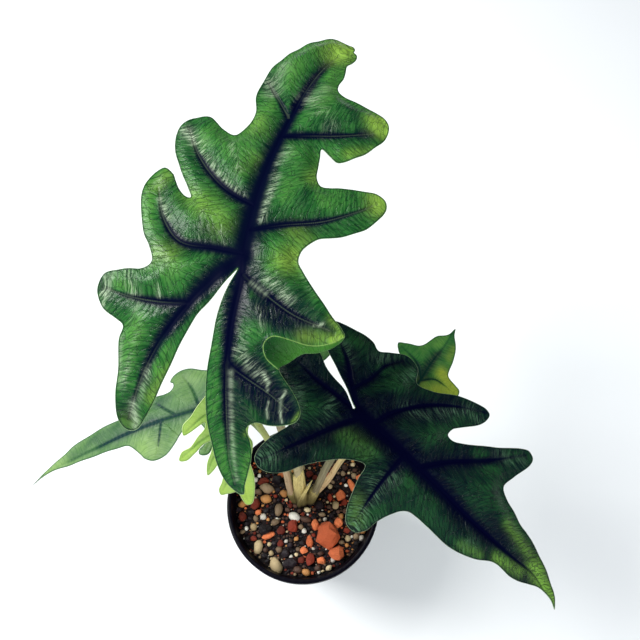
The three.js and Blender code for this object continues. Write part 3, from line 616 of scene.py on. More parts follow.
# %% [markdown]
# ## Stones and grit
#
# A stone starts as a small ball of triangles, is squashed and roughened, and keeps its flat facets
# where it is broken lava, or is rubbed smooth where it is a pebble. A handful of such masters is
# modelled, then copied at every size and turn: first the stones that catch the eye, at their places,
# then a seeded scatter that fills the gaps down to the dust. Stones of one colour are one piece.

# %% Stone masters
STONE_SEED = 20


def stone_master(name, seed, detail, sharpness):
    """Points and triangles of one stone about 1 mm in radius."""
    bpy.ops.object.select_all(action="DESELECT")
    bpy.ops.mesh.primitive_ico_sphere_add(subdivisions=detail, radius=1.0)
    ball = bpy.context.object
    ball.name = name
    for point in ball.data.vertices:
        way = point.co.normalized()
        swell = 0.20 * noise.noise(way * 1.3 + Vector((seed, 0, 0)))
        chip = sharpness * noise.cell(way * 1.9 + Vector((0, seed, 0)))
        point.co = way * (1 + swell + 0.16 * chip)
    bpy.ops.object.mode_set(mode="EDIT")
    bpy.ops.mesh.select_all(action="SELECT")
    bpy.ops.transform.vertex_random(offset=0.05 + 0.05 * sharpness, seed=seed)
    bpy.ops.mesh.quads_convert_to_tris()
    bpy.ops.object.mode_set(mode="OBJECT")
    points = np.array([p.co for p in ball.data.vertices])
    faces = np.array([list(f.vertices) for f in ball.data.polygons])
    bpy.data.objects.remove(ball)
    return points, faces


broken = [stone_master("broken", seed, 2, 1.0) for seed in range(5)]
rubbed = [stone_master("rubbed", seed, 2, 0.4) for seed in range(5, 10)]
large = [stone_master("large", seed, 2, 1.4) for seed in range(10, 13)]
crumbs = [stone_master("crumb", seed, 1, 0.6) for seed in range(13, 19)]
print("stone masters:", len(broken) + len(rubbed) + len(large) + len(crumbs))

# %% Listed stones
# Kind, place in plan, half length across and half length deep, in millimetres.
STONES_BY_EYE = [
    ("lava", 14.7, -17.9, 6.8, 6.7), ("lava", 19.6, -27.9, 4.4, 4.1), ("beige", -22.4, 9.3, 4.2, 3.0),
    ("amber", -22.5, 2.8, 3.3, 2.6), ("beige", -14.8, -3.3, 2.4, 4.2), ("white", -23.9, -7.4, 1.9, 1.9),
    ("white", -5.5, -7.1, 3.6, 2.6), ("brown", 1.4, -8.8, 3.6, 1.9), ("red", -6.0, -12.8, 3.0, 3.5),
    ("white", 0.6, -15.4, 1.5, 1.6), ("cream", -26.2, -24.6, 2.6, 4.4), ("cream", -15.4, -35.0, 3.2, 5.0),
    ("amber", 2.0, -38.4, 2.6, 1.9), ("lava", 22.7, 5.1, 3.0, 3.0), ("cream", 19.3, -0.7, 2.1, 2.6),
    ("lava", 21.0, -10.8, 2.7, 2.9), ("lava", 7.6, -12.0, 2.4, 3.2), ("lava", 3.8, -21.3, 2.1, 3.2),
    ("lava", 0.7, -26.3, 2.3, 1.9), ("red", 4.2, -31.2, 2.6, 3.8), ("lava", 10.9, -32.0, 2.6, 1.9),
    ("beige", -13.9, -26.0, 2.0, 1.9), ("dark", -22.5, -14.5, 4.1, 3.5), ("lava", -20.6, -18.2, 4.1, 1.9),
    ("red", -29.0, -0.1, 3.0, 3.3), ("red", -36.4, -7.1, 2.4, 2.9), ("amber", -36.8, -0.1, 2.4, 2.0),
    ("amber", -11.8, 6.3, 2.7, 2.3), ("amber", 35.4, -15.6, 1.8, 1.6), ("white", 34.5, -19.6, 1.5, 1.9),
    ("cream", 15.2, -36.0, 2.0, 1.6), ("lava", 29.7, 9.9, 2.1, 5.3), ("cream", 30.3, 23.8, 1.5, 1.3),
    ("white", -27.3, 17.1, 1.2, 1.3), ("red", -24.7, 13.5, 3.7, 2.0), ("dark", -15.6, 14.1, 3.4, 2.7),
    ("lava", -13.9, 17.1, 2.4, 1.7), ("beige", -28.4, -8.3, 1.5, 1.9), ("white", -33.7, -14.0, 1.2, 1.3),
    ("beige", 11.2, -6.0, 2.1, 1.3), ("amber", 22.5, -7.1, 1.5, 1.9), ("white", 13.0, -8.8, 1.2, 1.3),
    ("red", 16.0, 4.0, 1.5, 2.3), ("cream", 16.1, 10.5, 1.5, 1.7), ("brown", 25.4, 22.0, 1.8, 2.0),
    ("brown", 21.7, 26.3, 1.9, 1.7), ("white", 25.8, 11.1, 1.2, 1.0), ("cream", 26.4, -19.6, 1.8, 1.9),
    ("dark", -7.4, -33.4, 4.6, 2.8), ("brown", -2.7, -37.0, 2.6, 2.2), ("white", 9.4, -38.2, 1.1, 1.2),
    ("white", -15.6, -8.8, 1.2, 1.0), ("beige", -16.7, -10.5, 2.7, 1.9), ("amber", -34.4, 0.4, 1.5, 1.3),
    ("beige", 24.1, 18.3, 1.5, 1.7), ("cream", -19.8, -22.9, 1.2, 1.3), ("white", -9.9, -21.3, 1.2, 1.0),
    ("white", 17.5, -31.7, 1.4, 1.6), ("brown", 8.8, -36.1, 2.0, 1.9), ("red", 25.9, -15.1, 2.4, 1.6),
    ("cream", -31.4, -27.5, 1.2, 1.3), ("cream", -18.5, -27.9, 1.5, 1.6), ("white", -6.8, -30.1, 1.2, 1.3),
    ("beige", -2.8, -25.7, 1.5, 1.3), ("brown", -25.7, 22.6, 1.8, 1.7),
]
ROUND_KINDS = ("beige", "white", "cream", "brown", "amber")
# What the scatter draws from: kind and how often.
MIXED_KINDS = [
    ("dark", 40), ("brown", 26), ("beige", 8), ("cream", 5), ("white", 3), ("amber", 6), ("lava", 7),
    ("red", 15),
]
print("stones drawn:", len(STONES_BY_EYE))

# %% Place the listed stones
# A lava stone whose half length across is above BIG_LAVA comes from the large masters, and the share
# EYE_SINK of every stone lies below the bed.
BIG_LAVA = 4.2
EYE_SINK = 0.22
heaps = {kind: {"points": [], "faces": [], "tone": [], "count": 0} for kind, _ in MIXED_KINDS}
draw = random.Random(STONE_SEED)


def turned(a, b, angle):
    return a * math.cos(angle) - b * math.sin(angle), a * math.sin(angle) + b * math.cos(angle)


def add_stone(kind, master, x, y, half, sink):
    """Copies a master, scaled and turned, onto the bed. sink is the share of it that lies below."""
    points, faces = master
    turn, lean = draw.uniform(-0.5, 0.5), draw.uniform(-0.35, 0.35)
    east, north, up = (points * half).T
    north, up = turned(north, up, lean)
    east, north = turned(east, north, turn)
    placed = np.c_[east, north, up] + (x, y, bed_height(x, y) + half[2] * (1 - 2 * sink))
    heap = heaps[kind]
    heap["points"].append(placed * MM)
    heap["faces"].append(faces + heap["count"])
    heap["tone"].append(np.full(len(points), draw.random()))
    heap["count"] += len(points)


taken = []
for kind, x, y, across, deep in STONES_BY_EYE:
    tall = 0.72 * min(across, deep) + 0.2
    master = draw.choice(rubbed if kind in ROUND_KINDS else broken)
    if across > BIG_LAVA and kind == "lava":
        master = draw.choice(large)
    add_stone(kind, master, x, y, (across, deep, tall), EYE_SINK)
    taken.append((x, y, 0.5 * (across + deep)))
print("stones by eye:", len(taken))


# %% Scattered grit
TRIES_PER_STONE = 12
# No grit falls this near to the middle of the stems, in millimetres.
STEM_ROOM = 4.5


def scatter(count, small, big, masters, gap, sink):
    """Drops stones of random size where there is room. gap is how close their middles may come."""
    kinds = [kind for kind, often in MIXED_KINDS for _ in range(often)]
    placed = 0
    for _ in range(TRIES_PER_STONE * count):
        if placed == count:
            break
        turn, far = draw.uniform(0, 2 * math.pi), math.sqrt(draw.random())
        half = small + (big - small) * draw.random() ** 2
        out = (BED_RADIUS - 0.9 * half) * far
        x, y = out * math.cos(turn), out * math.sin(turn)
        near_stem = math.hypot(x - CORM_CENTRE[0], y - CORM_CENTRE[1] + 2) < STEM_ROOM
        if near_stem or any((x - a) ** 2 + (y - b) ** 2 < (gap * (half + r)) ** 2 for a, b, r in taken):
            continue
        kind = draw.choice(kinds)
        size = (half, half * draw.uniform(0.65, 1.0), half * draw.uniform(0.55, 0.85))
        add_stone(kind, draw.choice(masters), x, y, size, sink)
        taken.append((x, y, half))
        placed += 1
    return placed


amounts = [
    scatter(120, 1.5, 3.0, rubbed + broken, 0.88, 0.2),
    scatter(260, 0.8, 1.4, rubbed + broken, 0.9, 0.15),
    scatter(600, 0.4, 0.75, crumbs, 0.8, 0.1),
]
print("scattered:", amounts)

# %% [markdown]
# Lava is matt and pitted, pebbles are smoother and a little glossy where they are wet. Each stone
# has a tone of its own, so that no two beside each other are quite alike.

# %% Stone finishes
# Kind: darker colour, lighter colour, roughness, depth of the pits in metres.
STONE_LOOKS = {
    "lava": (paint(176, 74, 42), paint(246, 138, 86), 0.85, 0.0012),
    "red": (paint(82, 28, 20), paint(150, 56, 36), 0.8, 0.0008),
    "amber": (paint(130, 80, 42), paint(206, 146, 84), 0.6, 0.0003),
    "beige": (paint(80, 60, 48), paint(156, 132, 102), 0.55, 0.0005),
    "cream": (paint(150, 126, 88), paint(224, 204, 162), 0.6, 0.0006),
    "white": (paint(170, 160, 148), paint(240, 236, 224), 0.5, 0.0004),
    "brown": (paint(44, 30, 28), paint(98, 70, 56), 0.55, 0.0006),
    "dark": (paint(12, 9, 15), paint(42, 33, 40), 0.5, 0.0006),
}


def stone_finish(kind, dark, light, roughness, pits):
    made = Finish(f"stone_{kind}")
    where = made.place()
    grain = made.speckle(where, 1500, detail=5.0, roughness=0.65)
    tone = (made.mark("tone") * 0.75 + grain * 0.5 - 0.1).clamped()
    colour = made.mix(tone, dark, light)
    colour = made.mix(grain.between(0.62, 0.72) * 0.45, colour, tuple(0.35 * c for c in dark[:3]) + (1.0,))
    made.set(Base_Color=colour, Roughness=roughness, Normal=made.relief(grain, pits))
    return made


for kind, look in STONE_LOOKS.items():
    heap = heaps[kind]
    piece = mesh_object(f"stones_{kind}", np.concatenate(heap["points"]), np.concatenate(heap["faces"]))
    if kind in ("lava", "red", "dark"):
        piece.data.shade_flat()
    carry(piece, tone=np.concatenate(heap["tone"]))
    dress(piece, stone_finish(kind, *look), "soil_mix")

# %% [markdown]
# ## The leaves
#
# Each leaf has a flat frame of its own: u runs to the right, v along the midrib to the apex, w up
# through the blade, and the origin is where the stalk meets it. The outline is drawn lobe by lobe in
# millimetres, and so are the ribs. The same arch, cup and puff as in the measured blade bend it, so
# the fine leaf lies in the measured one. Mesh code is the way here: the wrinkles follow the ribs,
# and no modifier knows where the ribs run.

# %% The tall leaf
# at is the origin in the plant, and heading, pitch and roll turn the frame, in degrees. arch, cup,
# back_bend and back_slope bend the blade, puff lifts it between the ribs, which are felt as far as
# reach, and band narrows their dark bands. A rib is its points and its half width at the root. stalk
# holds points of the stalk's line, radius its radius at the foot, in the middle and at the tip. Its
# sheath ends at the height sheath_top, and it starts a little lower or at the height stalk_from.
TALL_LEAF = {
    "name": "tall", "at": (-24, 74.4, 235), "heading": 69, "pitch": 2, "roll": -2,
    "arch": 0.0007, "cup": 0.0012, "back_bend": 0.005, "back_slope": 0.2, "puff": 3, "reach": 7,
    "outline": [
        # Inner side and tip of the left back lobe.
        (1, -4), (-2.5, -14), (-5.3, -21.5), (-8.5, -29), (-12.4, -48), (-16, -65), (-20, -75), (-25, -77),
        (-30, -74.5), (-33.7, -66), (-35.2, -56), (-38, -46),
        # Its blunt side lobe.
        (-38, -40.5), (-42.3, -38.8), (-46.3, -37.8), (-50.3, -36), (-54.8, -30), (-53.5, -23.6),
        (-46.2, -19.4), (-38.5, -17),
        # First left lobe.
        (-35.2, -13), (-39.2, -7), (-43.7, -2.8), (-47.5, 2.6), (-53.4, 12.8), (-55.2, 18), (-55.5, 23.2),
        (-54.4, 28.7), (-51.4, 32.1), (-46, 30.2), (-43, 27), (-39.6, 23.5), (-35.2, 21),
        # Second left lobe.
        (-32.9, 21.2), (-36.8, 26), (-42, 31.3), (-46.5, 36.5), (-51, 42), (-54, 47.6), (-55.7, 52.6),
        (-56, 57), (-54.7, 61), (-52.2, 64.3), (-45, 67), (-36, 62.3),
        # Apex lobe.
        (-28.6, 60.6), (-25.8, 69), (-25.8, 77), (-30, 87), (-31.2, 100), (-30.6, 112), (-28.6, 118.8),
        (-25.9, 125.6), (-22.6, 132.4), (-18, 138.6), (-13.5, 142.4), (-9, 144), (-5, 143.5), (-1.8, 142.6),
        (1, 141.8), (2.6, 139.9), (2.5, 138.2), (4.7, 136.4), (5.6, 133.5), (4.6, 129.5), (3.2, 126),
        (4.2, 120.6), (4.8, 116), (4.1, 111.4),
        # Upper right lobe.
        (5.2, 107), (8.8, 104.6), (14, 103.3), (20.4, 102), (26.8, 101.2), (32.2, 99), (35.3, 95.6),
        (36.5, 90.8), (35.9, 84.8), (33, 78.4), (29.9, 72.8), (26.4, 68.4), (23.2, 65.2), (20.5, 63.4),
        (16.2, 65.2),
        # Middle right lobe.
        (11.4, 67.6), (12.4, 63), (13.7, 57.2), (15.2, 51.6), (18.2, 48.2), (22.4, 48.8), (27, 50.4),
        (32.3, 52.6), (38.1, 53.6), (43, 54.9), (47.4, 53.4), (49.4, 49.8), (48.9, 44.6), (45, 36),
        (40.8, 31), (36.4, 27.4), (31.8, 24.2),
        # Right shoulder lobe, which starts the back, and the flap that hangs below it.
        (27, 21.6), (24.2, 17), (22.9, 12.6), (23.6, 8.2), (27, 4.8), (31, 1.4), (35.6, -2.1), (40.5, -5.4),
        (45.5, -8.9), (50, -11.4), (53, -14.4), (50.2, -20), (44.9, -23.9), (39.2, -26.5), (35.2, -30.4),
        # Its lower neighbour.
        (32.2, -35.2), (35.4, -37.9), (39.4, -40.4), (44, -44), (46.4, -47.6), (45.6, -51), (42, -53.6),
        (35, -56),
        # The right back lobe and its inner side.
        (29.5, -57), (26.6, -60), (29.8, -64), (32.1, -68.4), (32.9, -75.9), (33.1, -80.2), (33.7, -83.4),
        (31.9, -83.9), (29, -83.4), (25.8, -82.3), (22.2, -80), (18.2, -76), (14, -70), (9, -62), (4.2, -49),
        (2, -36), (0, -24), (0.2, -12),
    ],
    "ribs": [
        ([(1, 1), (-1, 9), (-5, 28), (-8, 52), (-9, 76), (-9, 101), (-7, 119), (-3.5, 131)], 3.4),
        ([(-10, 80), (-21, 91), (-29, 99)], 1.4),
        ([(-6, 27), (-16, 29), (-27, 34), (-40, 44), (-51, 57)], 2.0),
        ([(1, 3), (-12, 1), (-27, -1), (-39, 7), (-49, 21)], 2.2),
        ([(-8, 68), (3, 73), (16, 79), (31, 88)], 1.9),
        ([(-1, 15), (10, 22), (26, 31), (40, 44), (45, 50)], 1.9),
        ([(1, 1), (-5, -8), (-13, -24), (-20, -42), (-24, -59), (-25, -72)], 3.0),
        ([(-13, -24), (-24, -27), (-38, -29), (-50, -29)], 1.8),
        ([(1, 1), (4, -8), (7.3, -27), (12.5, -46.2), (16.3, -56.5), (20.4, -66.6), (23.3, -73.3),
          (28.5, -81)], 2.6),
        ([(4, -6), (15, -10), (30, -14), (46, -14.5)], 1.7),
        ([(12, -41), (21, -43), (31, -45), (41, -48)], 1.7),
    ],
    # The blade folds down along this crest, over the notch between the two right shoulder lobes.
    "crest": [
        (53, -14.5), (47.7, -19.9), (40.2, -23.2), (31.8, -24.4), (25.3, -25.9), (23.3, -29.7), (25.6, -33.6),
        (31.5, -35.6),
    ],
    "sheath_top": 112, "radius": (3.9, 2.5, 1.8),
    "stalk": [
        (0, 2.5, 60), (-0.8, 2.6, 74), (-1.5, 6.2, 93), (-2.5, 12.5, 112), (-10, 26, 148), (-18, 49, 192),
    ],
}
print("tall leaf:", len(TALL_LEAF["outline"]), "points on its outline")

# %% The dark leaf
DARK_LEAF = {
    "name": "dark", "at": (28, 28.4, 172), "heading": -42, "pitch": -12, "roll": 0,
    "arch": 0.001, "cup": 0.0014, "back_bend": 0.002, "back_slope": 0, "puff": 3, "reach": 7,
    "outline": [
        # Inner side and round end of the right back lobe.
        (1.2, -1.6), (0.4, -3.2), (-0.9, -6), (-2.2, -9), (-3.1, -13), (-3.5, -17), (-5, -25), (-8.7, -33),
        (-8, -41), (-1, -46), (8, -46), (15, -40),
        # Long right shoulder lobe.
        (20, -28), (24, -21.5), (28, -18.8), (32.6, -19.8), (38.1, -21.2), (43.1, -21.6), (46.8, -21.2),
        (49.5, -20.1), (51, -18.2), (51.5, -15.3), (50.6, -11.6), (48.6, -8.5), (45.9, -6), (42.8, -3.9),
        (38.2, -1.7), (30, 3.8),
        # Short blunt right lobe.
        (21, 12), (17, 20), (24, 22), (35, 26), (42, 31), (42.2, 37), (38, 40.4), (33, 41.2), (28.6, 42.6),
        (24.3, 44.6),
        # Right side of the long apex lobe.
        (20.6, 46.9), (18.2, 50), (17.4, 54.7), (17.2, 61), (16.3, 76), (12, 88), (6.3, 97), (5.2, 108),
        (3.6, 113), (1, 118), (-1.4, 123), (-2, 128), (-1.5, 133), (0, 137),
        # Left side of the apex lobe.
        (-5, 132), (-11.6, 118), (-16, 103), (-17, 96.4), (-19, 90), (-21, 83.5), (-24, 78.4),
        # Upper left lobe.
        (-32, 80), (-43, 83), (-47, 82.3), (-48.4, 78.6), (-46, 74.3), (-42.7, 70.5), (-37.6, 65.1),
        (-32.9, 59.2), (-28.6, 54.1), (-25, 49.4),
        # Middle left lobe.
        (-22.2, 44.5), (-22.6, 41), (-26.2, 41), (-30, 43.6), (-38.8, 50.3), (-43.6, 51.7), (-46.6, 51),
        (-47.4, 48), (-46.8, 44.6), (-42, 33), (-34, 22),
        # Left shoulder lobe.
        (-31, 13), (-37, 9), (-38.6, 4.5), (-38, 0), (-33, -7),
        # The left back lobe and its inner side.
        (-29.6, -11.6), (-31.2, -16.5), (-31.2, -22), (-29.8, -27.5), (-28.2, -33), (-26.2, -37.6),
        (-22, -40.2), (-16, -38), (-11, -28), (-7.4, -19), (-5, -13), (-3.2, -9), (-1.8, -6), (-0.5, -3.2),
        (0.3, -1.2),
    ],
    "ribs": [
        ([(1, 1), (0.5, 12), (0, 31), (0, 52), (0, 76), (-2, 100), (-4, 118), (-1, 132)], 3.2),
        ([(1, 10), (-11, 14), (-26, 24), (-38, 37), (-46, 49)], 2.0),
        ([(0, 40), (-12, 49), (-29, 65), (-45, 78)], 2.0),
        ([(2, 4), (11, -1), (27, -8), (48, -17)], 2.0),
        ([(0, 31), (15, 31), (27, 32), (39, 34)], 1.8),
        ([(1, 1), (2, -12), (3, -26), (2, -40)], 2.0),
        ([(1, 1), (-7, -10), (-15, -20), (-22, -34)], 2.0),
        ([(-6, -8), (-16, -5), (-26, -4), (-35, 1)], 1.5),
    ],
    "sheath_top": 92, "radius": (3.4, 2.3, 1.7),
    "stalk": [(3.5, 2.8, 60), (4.2, 3, 73), (8.7, 6.2, 96), (13.3, 11.6, 118), (20, 18.5, 143)],
}
print("dark leaf:", len(DARK_LEAF["outline"]), "points on its outline")

# %% The pale leaf
PALE_LEAF = {
    "name": "pale", "at": (-45, 42.4, 141), "heading": 198, "pitch": -14, "roll": -6,
    "arch": 0.0009, "cup": 0.0025, "back_bend": 0.003, "back_slope": 0, "puff": 1.8, "reach": 7, "band": 0.22,
    "outline": [
        # The long right back lobe.
        (-0.5, -3), (1, -14), (2.4, -29), (2.4, -45), (2.8, -55), (3.7, -59.4), (5.7, -62.8), (7.8, -65),
        (10.6, -63), (12.8, -57), (15.5, -46), (15, -30), (13, -15),
        # Right shoulder.
        (16, -6), (20.9, 2.9), (25.7, 11.3), (27.1, 17), (26.2, 21), (24.4, 23.5), (22.6, 24.4), (20.9, 22.7),
        (18.6, 22.7),
        # Right side, out to the apex.
        (16.7, 25), (16.6, 29), (17.4, 33.2), (16, 42), (13.6, 50), (13.6, 58), (13, 74), (11, 89),
        (8.2, 96.5), (6.6, 104), (3, 115), (0, 121),
        # Left side, back from the apex.
        (1.8, 115), (2.4, 108), (1.6, 100), (0.5, 93), (-1, 77), (-2.4, 64), (-4, 55), (-11, 49), (-15, 46.2),
        (-17.6, 42),
        # Left lobe and left shoulder.
        (-17.4, 34), (-13.3, 27.5), (-10.2, 24.2), (-6.8, 19), (-6.4, 14.8), (-8.8, 11.6), (-12.9, 10),
        (-18.4, 9.8), (-20.4, 12.6), (-22, 15.6), (-24.1, 16), (-25.5, 13.7), (-25.3, 10.8),
        # The left back lobe.
        (-18, 4), (-15, -3), (-13, -11), (-7, -11), (-4, -5),
    ],
    "ribs": [
        ([(-0.5, 0), (0, 12), (2, 32), (3, 52), (3, 76), (3, 100), (1, 115)], 2.2),
        ([(2, 33), (-7, 36), (-15, 39)], 1.2),
        ([(-0.5, 2), (-9, 4.5), (-17, 6.5), (-23.5, 12)], 1.3),
        ([(1.5, 24), (8, 30), (14, 35)], 1.2),
        ([(0, 10), (12, 12), (23, 16)], 1.3),
        ([(-0.5, 0), (4, -14), (8, -32), (9, -48), (6.5, -61)], 1.5),
        ([(-0.5, 0), (-6, -5), (-10.5, -9)], 1.3),
    ],
    "sheath_top": 80, "radius": (2.8, 1.9, 1.4),
    "stalk": [
        (-3.6, 4.4, 60), (-4.7, 6, 73), (-7.5, 12.5, 90), (-11, 18.8, 104), (-20.6, 30.1, 118),
        (-31.4, 37.5, 130),
    ],
}
print("pale leaf:", len(PALE_LEAF["outline"]), "points on its outline")

# %% The small leaf
SMALL_LEAF = {
    "name": "small", "at": (50, 36.4, 138), "heading": 53, "pitch": -8, "roll": 0,
    "arch": 0.0016, "cup": 0.0025, "back_bend": 0.002, "back_slope": 0, "puff": 1.6, "reach": 6, "band": 0.35,
    "outline": [
        # Left back lobe.
        (-2, 4), (-13, 8), (-26, 13), (-35, 15.5), (-41, 13), (-36, 8), (-27, 3), (-18, -2), (-10, -7),
        # Right back lobe.
        (-1, -11), (12, -12), (25, -14), (37, -14), (42, -10), (34, -4), (20, 1), (9, 4),
        # Right lobe.
        (8, 10), (13, 18), (20, 27), (21.5, 32), (20.3, 35.5), (17.3, 36.8), (11, 39.4),
        # Apex.
        (9.4, 44), (8.6, 48.6), (5.8, 57.5), (3.4, 62), (0, 67), (-2.2, 72.4), (-3.2, 65.8), (-7.6, 60),
        # Left lobe.
        (-9.4, 54), (-10.6, 49.4), (-13, 45.4), (-19, 43), (-23, 40), (-20, 35), (-15, 31), (-14, 24),
        (-9, 14), (-4, 6),
    ],
    "ribs": [
        ([(-1, -1), (-0.5, 10), (0, 25), (-1, 40), (-1, 56), (-2, 68)], 1.8),
        ([(0, 27), (-6, 34), (-13, 37), (-20, 39)], 1.2),
        ([(0, 26), (6, 32), (13, 32.5), (19, 33)], 1.2),
        ([(-1, -1), (-13, 3), (-26, 8), (-37, 12)], 1.4),
        ([(-1, -1), (10, -4), (24, -8), (37, -10)], 1.4),
    ],
    "sheath_top": 82, "radius": (2.4, 1.9, 1.3),
    "stalk": [
        (4, 4, 60), (5.3, 4.6, 72.5), (8.4, 6.4, 79), (14.6, 10.4, 92), (23, 19.5, 108), (38.4, 31, 125),
    ],
}
print("small leaf:", len(SMALL_LEAF["outline"]), "points on its outline")

# %% The young leaf
YOUNG_LEAF = {
    "name": "young", "at": (-29, 32.4, 175), "heading": -90, "pitch": -50, "roll": 0,
    "arch": 0.0012, "cup": 0.0035, "back_bend": 0.003, "back_slope": 0, "puff": 1.0, "reach": 5,
    "outline": [
        # The two small back lobes.
        (0.5, 0.5), (-2.5, -3), (-4.5, -7), (-2, -10), (1, -6), (2, -1.5), (5, -4), (10, -5), (14, -3),
        # First finger.
        (19, 3), (24, 11), (29, 18), (29, 23.5), (25.5, 21.5), (21, 17), (17.5, 14.5),
        # Second finger.
        (17.4, 17), (21.2, 22.6), (26, 30), (31.5, 35.2), (33, 40.5), (29, 40), (24, 34), (18, 27),
        # Third finger.
        (14.5, 25), (15.6, 32), (18.4, 40), (19, 49), (15, 44), (12, 40),
        # Fourth finger.
        (9.6, 40), (10.4, 46.8), (12, 53), (14, 59), (13, 62.4), (8.4, 61),
        # Apex.
        (4, 59), (2.5, 63), (0, 69), (-3, 68), (-5, 58), (-5.2, 48),
        # The narrow right side, with two shallow lobes.
        (-3.6, 38), (-5, 32), (-5.6, 26), (-3.6, 21), (-4.4, 15), (-6, 9), (-3, 5),
    ],
    "ribs": [
        ([(0.5, 0.5), (3, 9), (4, 22), (3, 37), (1, 52), (-1, 65)], 1.4),
        ([(2, 5), (10, 6), (19, 12), (27, 21)], 0.9),
        ([(3.7, 14), (12, 19), (22, 28), (31, 38)], 0.9),
        ([(4, 24), (10, 29), (15, 37), (18, 45)], 0.8),
        ([(3, 38), (6, 45), (9, 52), (11.5, 59)], 0.8),
    ],
    "sheath_top": 90, "stalk_from": 78, "radius": (2.2, 2.0, 1.6),
    "stalk": [
        (-4, 2.4, 60), (-5, 2.2, 72.5), (-6.4, 3.4, 79), (-7.8, 6.8, 93), (-9.6, 13.1, 112),
        (-18.6, 23.7, 144), (-24.6, 30.5, 162),
    ],
}
print("young leaf:", len(YOUNG_LEAF["outline"]), "points on its outline")
LEAVES = [TALL_LEAF, DARK_LEAF, PALE_LEAF, SMALL_LEAF, YOUNG_LEAF]

# %% [markdown]
# How a leaf is wrinkled matters as much as its outline. Fine side veins leave each rib almost
# square to it and sweep a little towards the tip, and the blade puckers between them. So every
# point of the net is given the rib it lies nearest to, how far off it is and how far along: a wave
# in the distance along the rib then makes furrows that run straight out from it.

# %% Distances on a leaf
RIB_SAMPLE = 0.8
RIB_BATCH = 1000
# How softly one rib's side gives way to the next one's, in millimetres.
SEAM_SOFTNESS = 1.2


def rib_rows(leaf):
    """Each rib as evenly spaced points, with its direction, its size, where it starts and where it fades."""
    rows = []
    for path, root in leaf["ribs"]:
        points = evenly(smooth_curve(path, 24), RIB_SAMPLE)
        ahead = np.gradient(points, axis=0)
        ahead /= np.linalg.norm(ahead, axis=1)[:, None]
        share = np.linspace(0, 1, len(points))
        size = root * (1 - 0.75 * share)
        start = 0.0
        if rows:
            reach = [np.linalg.norm(row["points"] - points[0], axis=1) for row in rows]
            parent = min(range(len(rows)), key=lambda r: reach[r].min())
            start = rows[parent]["start"] + RIB_SAMPLE * reach[parent].argmin()
        rows.append({
            "points": points, "ahead": ahead, "size": size, "start": start,
            "late": smoothstep(share, 0.6, 1), "band": leaf.get("band", 1) * band_width(size),
        })
    return rows


def rib_fields(rows, flat):
    """For each flat point: how far the nearest ribs are, how far along the leaf it is, and the ribs' size."""
    table = {key: np.empty((len(flat), len(rows))) for key in ("far", "along", "size", "late", "band")}
    for r, row in enumerate(rows):
        for k in range(0, len(flat), RIB_BATCH):
            part = slice(k, k + RIB_BATCH)
            gap = flat[part, None] - row["points"][None]
            squared = (gap**2).sum(2)
            nearest = squared.argmin(1)
            every = np.arange(len(nearest))
            forward = (gap[every, nearest] * row["ahead"][nearest]).sum(1)
            table["far"][part, r] = np.sqrt(squared[every, nearest])
            table["along"][part, r] = row["start"] + nearest * RIB_SAMPLE + forward
            for key in ("size", "late", "band"):
                table[key][part, r] = row[key][nearest]
    far, along, size, late, band = table.values()
    first, second = np.sort(far, axis=1)[:, :2].T
    own = far.argmin(1)
    every = np.arange(len(flat))
    return {
        "near": -SEAM_SOFTNESS * np.log(np.exp(-far / SEAM_SOFTNESS).sum(1)),
        "exact": first, "between": second - first, "along": along[every, own], "size": size[every, own],
        "thick": (size * np.exp(-((far / (0.6 * size + 0.8)) ** 2))).max(1),
        "shade": ((far - band) / fade_width(size) + 0.5 * late).min(1),
    }


def band_width(size):
    """Half width of the dark band along a rib of that size, in millimetres."""
    return 0.2 + 0.22 * size + 0.16 * size**2


def fade_width(size):
    """How far the green takes to come up beside that band."""
    return 1.0 + 0.7 * size**2


print("band half widths:", [round(band_width(s), 2) for s in (3.4, 2, 1)])


# %% Bend and frame of a leaf
def bend(leaf, u, v):
    front, back = np.maximum(v, 0), np.minimum(v, 0)
    droop = leaf["back_slope"] * (np.hypot(back, 15) - 15)
    return -leaf["arch"] * front**2 - leaf["back_bend"] * back**2 - droop - leaf["cup"] * u**2


def leaf_axes(leaf):
    h, p, r = (math.radians(leaf[key]) for key in ("heading", "pitch", "roll"))
    v = np.array([math.cos(h) * math.cos(p), math.sin(h) * math.cos(p), math.sin(p)])
    level = np.array([math.sin(h), -math.cos(h), 0])
    u = level * math.cos(r) + np.cross(level, v) * math.sin(r)
    return u, v, np.cross(u, v)


def to_world(leaf, local):
    u, v, w = leaf_axes(leaf)
    return (np.array(leaf["at"]) + local[:, :1] * u + local[:, 1:2] * v + local[:, 2:] * w) * MM


def blade_heights(leaf, flat, fields, edge):
    """Top and underside of the blade without its wrinkles, as in the measured part."""
    u, v = flat[:, 0], flat[:, 1]
    lift = smoothstep(edge, 0, 9)
    hollow = np.exp(-((fields["near"] / leaf["reach"]) ** 2))
    wave = 0.35 * (1 - lift) * np.sin(0.42 * u + 0.31 * v)
    top = bend(leaf, u, v) + leaf["puff"] * (1 - hollow) * lift + wave
    slope_u = bend(leaf, u + 0.5, v) - bend(leaf, u - 0.5, v)
    slope_v = bend(leaf, u, v + 0.5) - bend(leaf, u, v - 0.5)
    thickness = 0.3 + 0.4 * smoothstep(edge, 0, 3) + 0.5 * fields["thick"]
    thickness = thickness * np.sqrt(1 + slope_u**2 + slope_v**2)
    return top, top - thickness


print("the tall leaf's middle, in metres:", to_world(TALL_LEAF, np.array([(0.0, 60.0, 0.0)])).round(3)[0])
